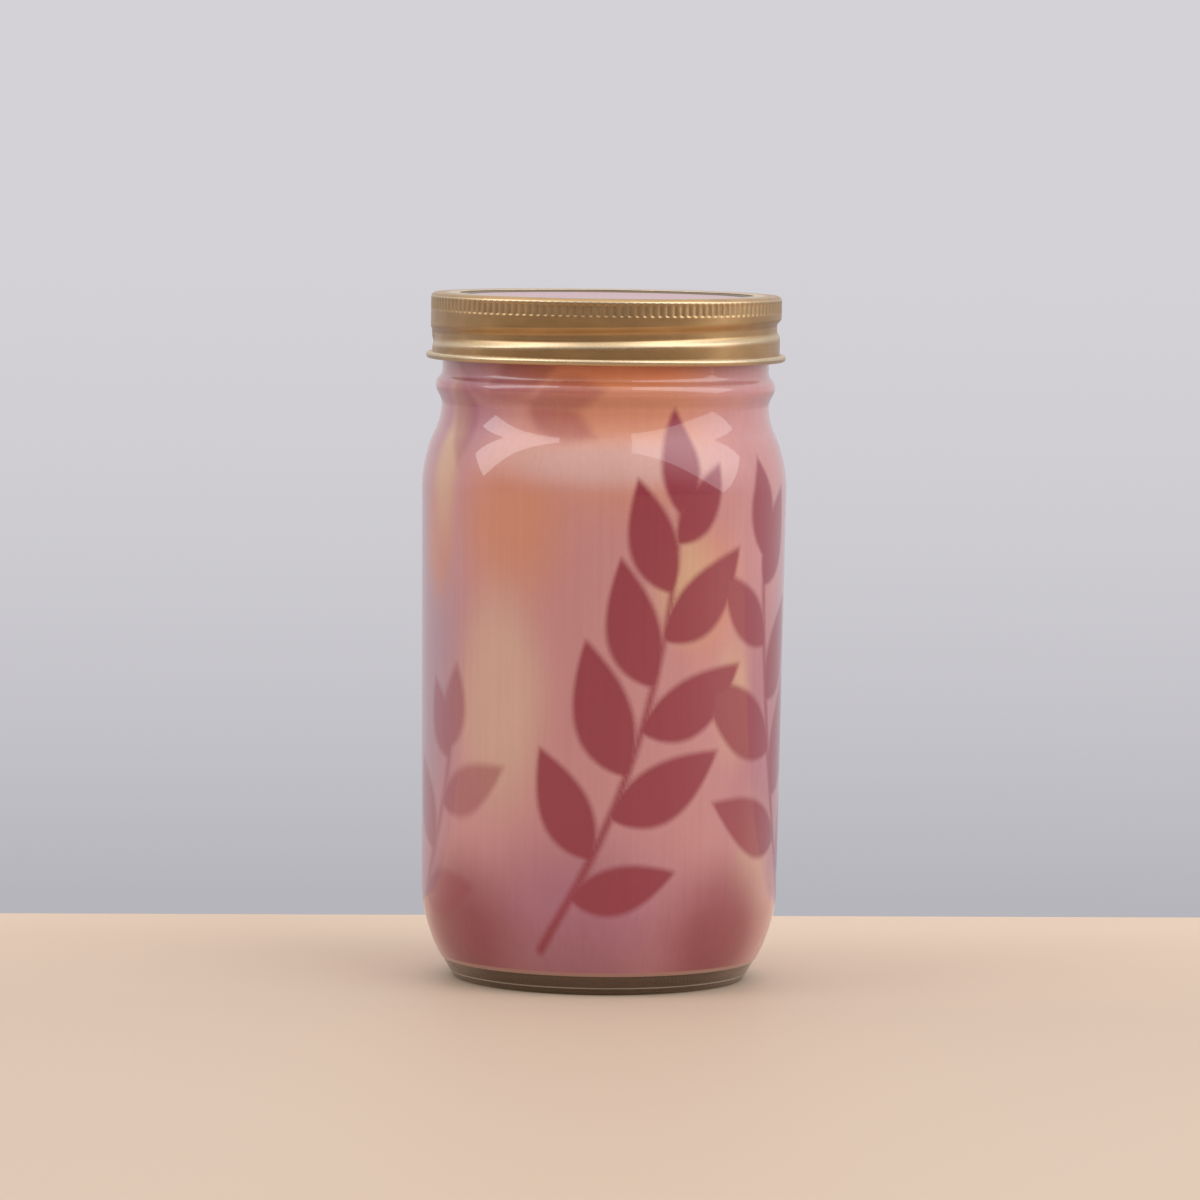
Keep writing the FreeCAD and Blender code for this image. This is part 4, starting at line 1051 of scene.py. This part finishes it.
def pillow_mesh(node_name, seam, crimps, roundness=0.45, lumpiness=1.0):
    """A filled paper piece: full in the middle, flat and crimped along its seams."""
    low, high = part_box(node_name)
    middle = (low + high) / 2
    width, depth, tall = high - low
    mesh = bmesh.new()
    bmesh.ops.create_grid(mesh, x_segments=44, y_segments=56, size=0.5)
    upright = Matrix.Translation(middle) @ Matrix.Rotation(math.pi / 2, 4, "X") @ Matrix.Diagonal(
        (width, tall, 1, 1))
    bmesh.ops.transform(mesh, matrix=upright, verts=mesh.verts[:])
    back = bmesh.ops.duplicate(mesh, geom=mesh.verts[:] + mesh.edges[:] + mesh.faces[:])["geom"]
    back_verts = {item for item in back if isinstance(item, bmesh.types.BMVert)}
    for vert in mesh.verts:
        across = max(abs(vert.co.x) - (width / 2 - seam), 0) / seam
        up = max(abs(vert.co.z - middle.z) - (tall / 2 - seam), 0) / seam
        if across or up:
            ribs = math.cos((vert.co.z if across > up else vert.co.x) * crimps)
            swell = SEALED_HALF + CRIMP_DEPTH * ribs
        else:
            left = 1 - (abs(vert.co.x) / (width / 2 - seam)) ** 4
            over = 1 - (abs(vert.co.z - middle.z) / (tall / 2 - seam)) ** 4
            lump = sum(noise.noise(vert.co * fine) * size
                       for fine, size in (LARGE_LUMPS, SMALL_LUMPS)) - LUMP_SAG
            rise = (depth / 2 - SEALED_HALF) * (left * over) ** roundness
            swell = SEALED_HALF + rise * (1 + lump * lumpiness)
        vert.co.y = middle.y + (swell if vert in back_verts else -swell)
        vert.co.y = min(max(vert.co.y, low.y), high.y)
    bmesh.ops.bridge_loops(mesh, edges=[edge for edge in mesh.edges if edge.is_boundary])
    bmesh.ops.recalc_face_normals(mesh, faces=mesh.faces[:])
    return mesh


def guide_mesh(kit):
    """Card leaflet folded in three."""
    low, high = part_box("grow_guide")
    pitch = (high.y - low.y - kit.card) / 2
    front = low.y + kit.card / 2
    places = [
        (low.x, front, low.z),
        (high.x - kit.leaf_edge, front, low.z),
        (high.x - kit.leaf_edge, front + pitch, low.z),
        (low.x + kit.leaf_edge, front + pitch, low.z),
        (low.x + kit.leaf_edge, front + 2 * pitch, low.z),
        (high.x, front + 2 * pitch, low.z),
    ]
    mesh = strip(places, pitch * 0.45, 4)
    divide(mesh, LONGEST["guide"])
    sweep(mesh, Vector((0, 0, high.z - low.z)), steps=11)
    bmesh.ops.solidify(mesh, geom=mesh.faces[:], thickness=kit.card)
    shift = (low.y + high.y) / 2 - sum(v.co.y for v in mesh.verts) / len(mesh.verts)
    bmesh.ops.translate(mesh, verts=mesh.verts[:], vec=(0, shift, 0))
    return mesh


class Builder(bpy.types.Operator):
    """Common part of the operators, which read their settings from the scene"""

    bl_options = {"REGISTER", "UNDO"}


class PLANTER_OT_glass(Builder):
    """Build the pressed glass jar"""

    bl_idname = "jar_planter.glass"
    bl_label = "Glass jar"

    def execute(self, context):
        jar = context.scene.jar_planter.jar
        glass = finish("pressed_glass", pressed_glass, jar)
        piece("pressed_jar", glass_mesh(jar), [glass], "jar", "jar_glass", "glass_jar")
        return {"FINISHED"}


class PLANTER_OT_film(Builder):
    """Build the printed film sleeve"""

    bl_idname = "jar_planter.film"
    bl_label = "Printed sleeve"

    def execute(self, context):
        every = context.scene.jar_planter
        finishes = [finish("printed_film", printed_film, every.film, every.jar),
                    finish("film_backing", film_backing, every.film)]
        made = piece("printed_sleeve", film_mesh(every.film, every.jar), finishes, "jar",
                     "sleeve_film", "print_sleeve", crease=60)
        print_leaves(made, every.jar)
        return {"FINISHED"}


class PLANTER_OT_band(Builder):
    """Build the gold screw band"""

    bl_idname = "jar_planter.band"
    bl_label = "Screw band"

    def execute(self, context):
        every = context.scene.jar_planter
        gold = finish("gold_lacquer", lacquer, every.band.gold, every.band.worn_gold)
        piece("gold_band", band_mesh(every.band, every.jar), [gold], "band", "gold_tinplate",
              "screw_band", crease=50)
        return {"FINISHED"}


class PLANTER_OT_lid(Builder):
    """Build the lid disc and its printed face, and finish its seal"""

    bl_idname = "jar_planter.lid"
    bl_label = "Lid"

    def execute(self, context):
        lid = context.scene.jar_planter.lid
        # The lid plate's dark lacquer is painted shade for the recess under the band's flange
        lid_painted_shade = finish("shaded_lacquer", lacquer, lid.shade, lid.shade)
        piece("lid_plate", lid_mesh(lid), [lid_painted_shade], "lid", "lid_tinplate", "lid_disc")
        pink = finish("label_print", label_print, lid)
        piece("lid_face", label_mesh(lid), [pink], "lid", "label_paper", "lid_label")
        dress("lid_seal", finish("seal_rubber", seal_rubber, lid))
        return {"FINISHED"}


class PLANTER_OT_pot(Builder):
    """Finish the net pot, and build its wick and coir disc"""

    bl_idname = "jar_planter.pot"
    bl_label = "Net pot, wick and coir"

    def execute(self, context):
        pot = context.scene.jar_planter.pot
        steel = finish("brushed_steel", brushed_steel, pot)
        for node_name in ("pot_rim", "pot_wall", "pot_base"):
            dress(node_name, steel)
        needled = finish("needled_felt", needled_felt, pot)
        felt = piece("felt_wick", wick_mesh(pot), [needled], "jar", "wick_felt", "wick")
        thick = felt.modifiers.new("felt_thickness", "SOLIDIFY")
        thick.thickness = pot.wick_thickness
        thick.offset = 0
        soft = felt.modifiers.new("soft_edges", "BEVEL")
        soft.width = pot.wick_thickness * 0.24
        soft.segments = 2
        coir = finish("pressed_coir", pressed_coir, pot)
        piece("coir_puck", coir_mesh(), [coir], "jar", "coir_pith", "coir_disc")
        return {"FINISHED"}


class PLANTER_OT_kit(Builder):
    """Build the seed packet, guide and sachets, and finish the seeds"""

    bl_idname = "jar_planter.kit"
    bl_label = "Growing kit"

    def execute(self, context):
        kit = context.scene.jar_planter.kit
        low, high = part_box("seed_packet")
        panel = (high.x * 0.78, (low.z + high.z) / 2, (high.z - low.z) * 0.36)
        packet = finish("packet_paper", plain_paper, kit.paper, kit.ink, panel)
        flat_pillow = pillow_mesh("seed_packet", kit.packet_seam, 5200.0, roundness=0.12,
                                  lumpiness=0.15)
        piece("paper_packet", flat_pillow, [packet], "jar", "kit_paper", "seed_packet")
        dress("seeds", finish("seed_coat", seed_coat, kit))
        card = finish("guide_card", plain_paper, kit.paper)
        piece("folded_guide", guide_mesh(kit), [card], "jar", "kit_paper", "grow_guide")
        filter_paper = finish("filter_paper", plain_paper, kit.sachet)
        for name, node_name in (("food_pouch", "food_sachet"), ("carbon_pouch", "carbon_sachet")):
            pouch = piece(name, pillow_mesh(node_name, kit.seam, 3600.0), [filter_paper], "jar",
                          "sachet_paper", node_name)
        return {"FINISHED"}


# Soft windows: name, azimuth from the front, elevation and lean in degrees, distance, width,
# height and power in watts. They face the jar's shoulder.
WINDOWS = [
    ("left_window", -69, 34, 45, 1.2, 1.20, 0.38, 4.4),
    ("right_window", 63, 32, -38, 1.2, 1.65, 0.72, 8.4),
]
SHOULDER = Vector((0, 0, 0.13))


def hang_window(scene, colour, name, azimuth, elevation, lean, distance, width, height, power):
    """One rectangular soft light that faces the jar's shoulder."""
    lamp = bpy.data.lights.new(name, "AREA")
    lamp.shape = "RECTANGLE"
    lamp.size = width
    lamp.size_y = height
    lamp.energy = power
    lamp.color = colour
    made = bpy.data.objects.new(name, lamp)
    bearing, rise = math.radians(azimuth), math.radians(elevation)
    away = Vector((math.sin(bearing) * math.cos(rise), -math.cos(bearing) * math.cos(rise),
                   math.sin(rise)))
    made.location = SHOULDER + away * distance
    facing = (-away).to_track_quat("-Z", "Y").to_matrix()
    made.rotation_euler = (facing @ Matrix.Rotation(math.radians(lean), 3, "Z")).to_euler()
    made.visible_camera = False
    scene.collection.objects.link(made)


def light_room(scene, stage):
    """The world: an even soft light, and a pale backdrop behind with a dim room in front."""
    world = bpy.data.worlds.new("pale_room")
    world.use_nodes = True
    scene.world = world
    tree = world.node_tree
    tree.nodes.clear()
    view = add(tree, "TexCoord", out="Generated")
    behind = add(tree, "SeparateXYZ", [view], "Y")
    up = add(tree, "SeparateXYZ", [view], "Z")
    below = add(tree, "MapRange", [up, -0.1235, 0.0, 1.0, 0.0])
    fall = add(tree, "Math", [below, 2.3], operation="POWER")
    wall = add(tree, "Mix", [fall, tone(stage.backdrop_high), tone(stage.backdrop_low)],
               **COLOUR_MIX)
    far = add(tree, "MapRange", [behind, -0.35, 0.25, 0.0, 1.0])
    seen = add(tree, "Mix", [far, tone(stage.room), wall], **COLOUR_MIX)
    risen = add(tree, "MapRange", [up, 0.15, 0.60, 0.0, 1.0])
    seen = add(tree, "Mix", [risen, seen, tone(stage.sky)], **COLOUR_MIX)
    # The camera, mirrors and glass see the room, and matt surfaces get the even light
    looked = 0.0
    for ray in ("Is Camera Ray", "Is Glossy Ray", "Is Transmission Ray"):
        looked = add(tree, "Math", [looked, add(tree, "LightPath", out=ray)], operation="MAXIMUM")
    skylight = add(tree, "MapRange", [up, 0.70, 0.92, 1.0, 1.6])
    overhead = add(tree, "MapRange", [up, 0.0, 1.0, 0.40, 1.0])
    ambient = add(tree, "Background", [tone(stage.ambient), overhead])
    shown = add(tree, "Background", [seen, skylight])
    add(tree, "OutputWorld", [add(tree, "MixShader", [looked, ambient, shown])])


class PLANTER_OT_stage(Builder):
    """Build the table top, the background, the lights and the camera"""

    bl_idname = "jar_planter.stage"
    bl_label = "Stage"

    def execute(self, context):
        scene = context.scene
        stage = scene.jar_planter.stage
        mesh = bmesh.new()
        bmesh.ops.create_cube(mesh, size=1.0)
        reach, back, thickness = stage.floor_reach, stage.floor_back, stage.floor_thickness
        slab = Matrix.Translation((0, (back - reach) / 2, -thickness / 2)) @ (
            Matrix.Diagonal((2 * reach, reach + back, thickness, 1)))
        turned = Matrix.Rotation(stage.floor_turn, 4, "Z")
        bmesh.ops.transform(mesh, matrix=turned @ slab, verts=mesh.verts[:])
        data = bpy.data.meshes.new("table_top")
        mesh.to_mesh(data)
        mesh.free()
        data.materials.append(finish("table_paint", table_paint, stage))
        table = bpy.data.objects.new("table_top", data)
        scene.collection.objects.link(table)
        light_room(scene, stage)
        for window in WINDOWS:
            hang_window(scene, stage.window, *window)
        lens = bpy.data.cameras.new("photo_camera")
        lens.lens = stage.camera_lens
        lens.sensor_width = 36.0
        lens.clip_end = 20.0
        camera = bpy.data.objects.new("photo_camera", lens)
        tilt = Euler((math.pi / 2 - stage.camera_pitch, 0, 0)).to_matrix().to_4x4()
        roll = Matrix.Rotation(stage.camera_roll, 4, "Z")
        stand = (-stage.camera_shift, -stage.camera_distance, stage.camera_height)
        camera.matrix_world = Matrix.Translation(stand) @ tilt @ roll
        scene.collection.objects.link(camera)
        scene.camera = camera
        scene.view_settings.view_transform = "Standard"
        return {"FINISHED"}


class PlanterSettings(bpy.types.PropertyGroup):
    """Every group of the planter's settings."""

    jar: PointerProperty(type=JarSettings)
    film: PointerProperty(type=FilmSettings)
    band: PointerProperty(type=BandSettings)
    lid: PointerProperty(type=LidSettings)
    pot: PointerProperty(type=PotSettings)
    kit: PointerProperty(type=KitSettings)
    stage: PointerProperty(type=StageSettings)


BUILDERS = [PLANTER_OT_glass, PLANTER_OT_film, PLANTER_OT_band, PLANTER_OT_lid, PLANTER_OT_pot,
            PLANTER_OT_kit, PLANTER_OT_stage]


class PLANTER_PT_sidebar(bpy.types.Panel):
    """Lists the builders and their settings"""

    bl_idname = "PLANTER_PT_sidebar"
    bl_label = "Jar planter"
    bl_space_type = "VIEW_3D"
    bl_region_type = "UI"
    bl_category = "Jar planter"

    def draw(self, context):
        for builder in BUILDERS:
            self.layout.operator(builder.bl_idname)
        for group_name in PlanterSettings.__annotations__:
            group = getattr(context.scene.jar_planter, group_name)
            box = self.layout.box()
            box.label(text=group_name.capitalize())
            for name in group.__annotations__:
                box.prop(group, name)


CLASSES = [JarSettings, FilmSettings, BandSettings, LidSettings, PotSettings, KitSettings,
           StageSettings, PlanterSettings, *BUILDERS, PLANTER_PT_sidebar]


def register():
    """Register the add-on's classes and its settings."""
    for each in CLASSES:
        bpy.utils.register_class(each)
    bpy.types.Scene.jar_planter = PointerProperty(type=PlanterSettings)


def unregister():
    """Remove the settings and the classes."""
    del bpy.types.Scene.jar_planter
    for each in reversed(CLASSES):
        bpy.utils.unregister_class(each)


def main():
    """Build every piece and the stage."""
    register()
    bpy.ops.jar_planter.glass()
    bpy.ops.jar_planter.film()
    bpy.ops.jar_planter.band()
    bpy.ops.jar_planter.lid()
    bpy.ops.jar_planter.pot()
    bpy.ops.jar_planter.kit()
    bpy.ops.jar_planter.stage()


if __name__ == "__main__":
    main()
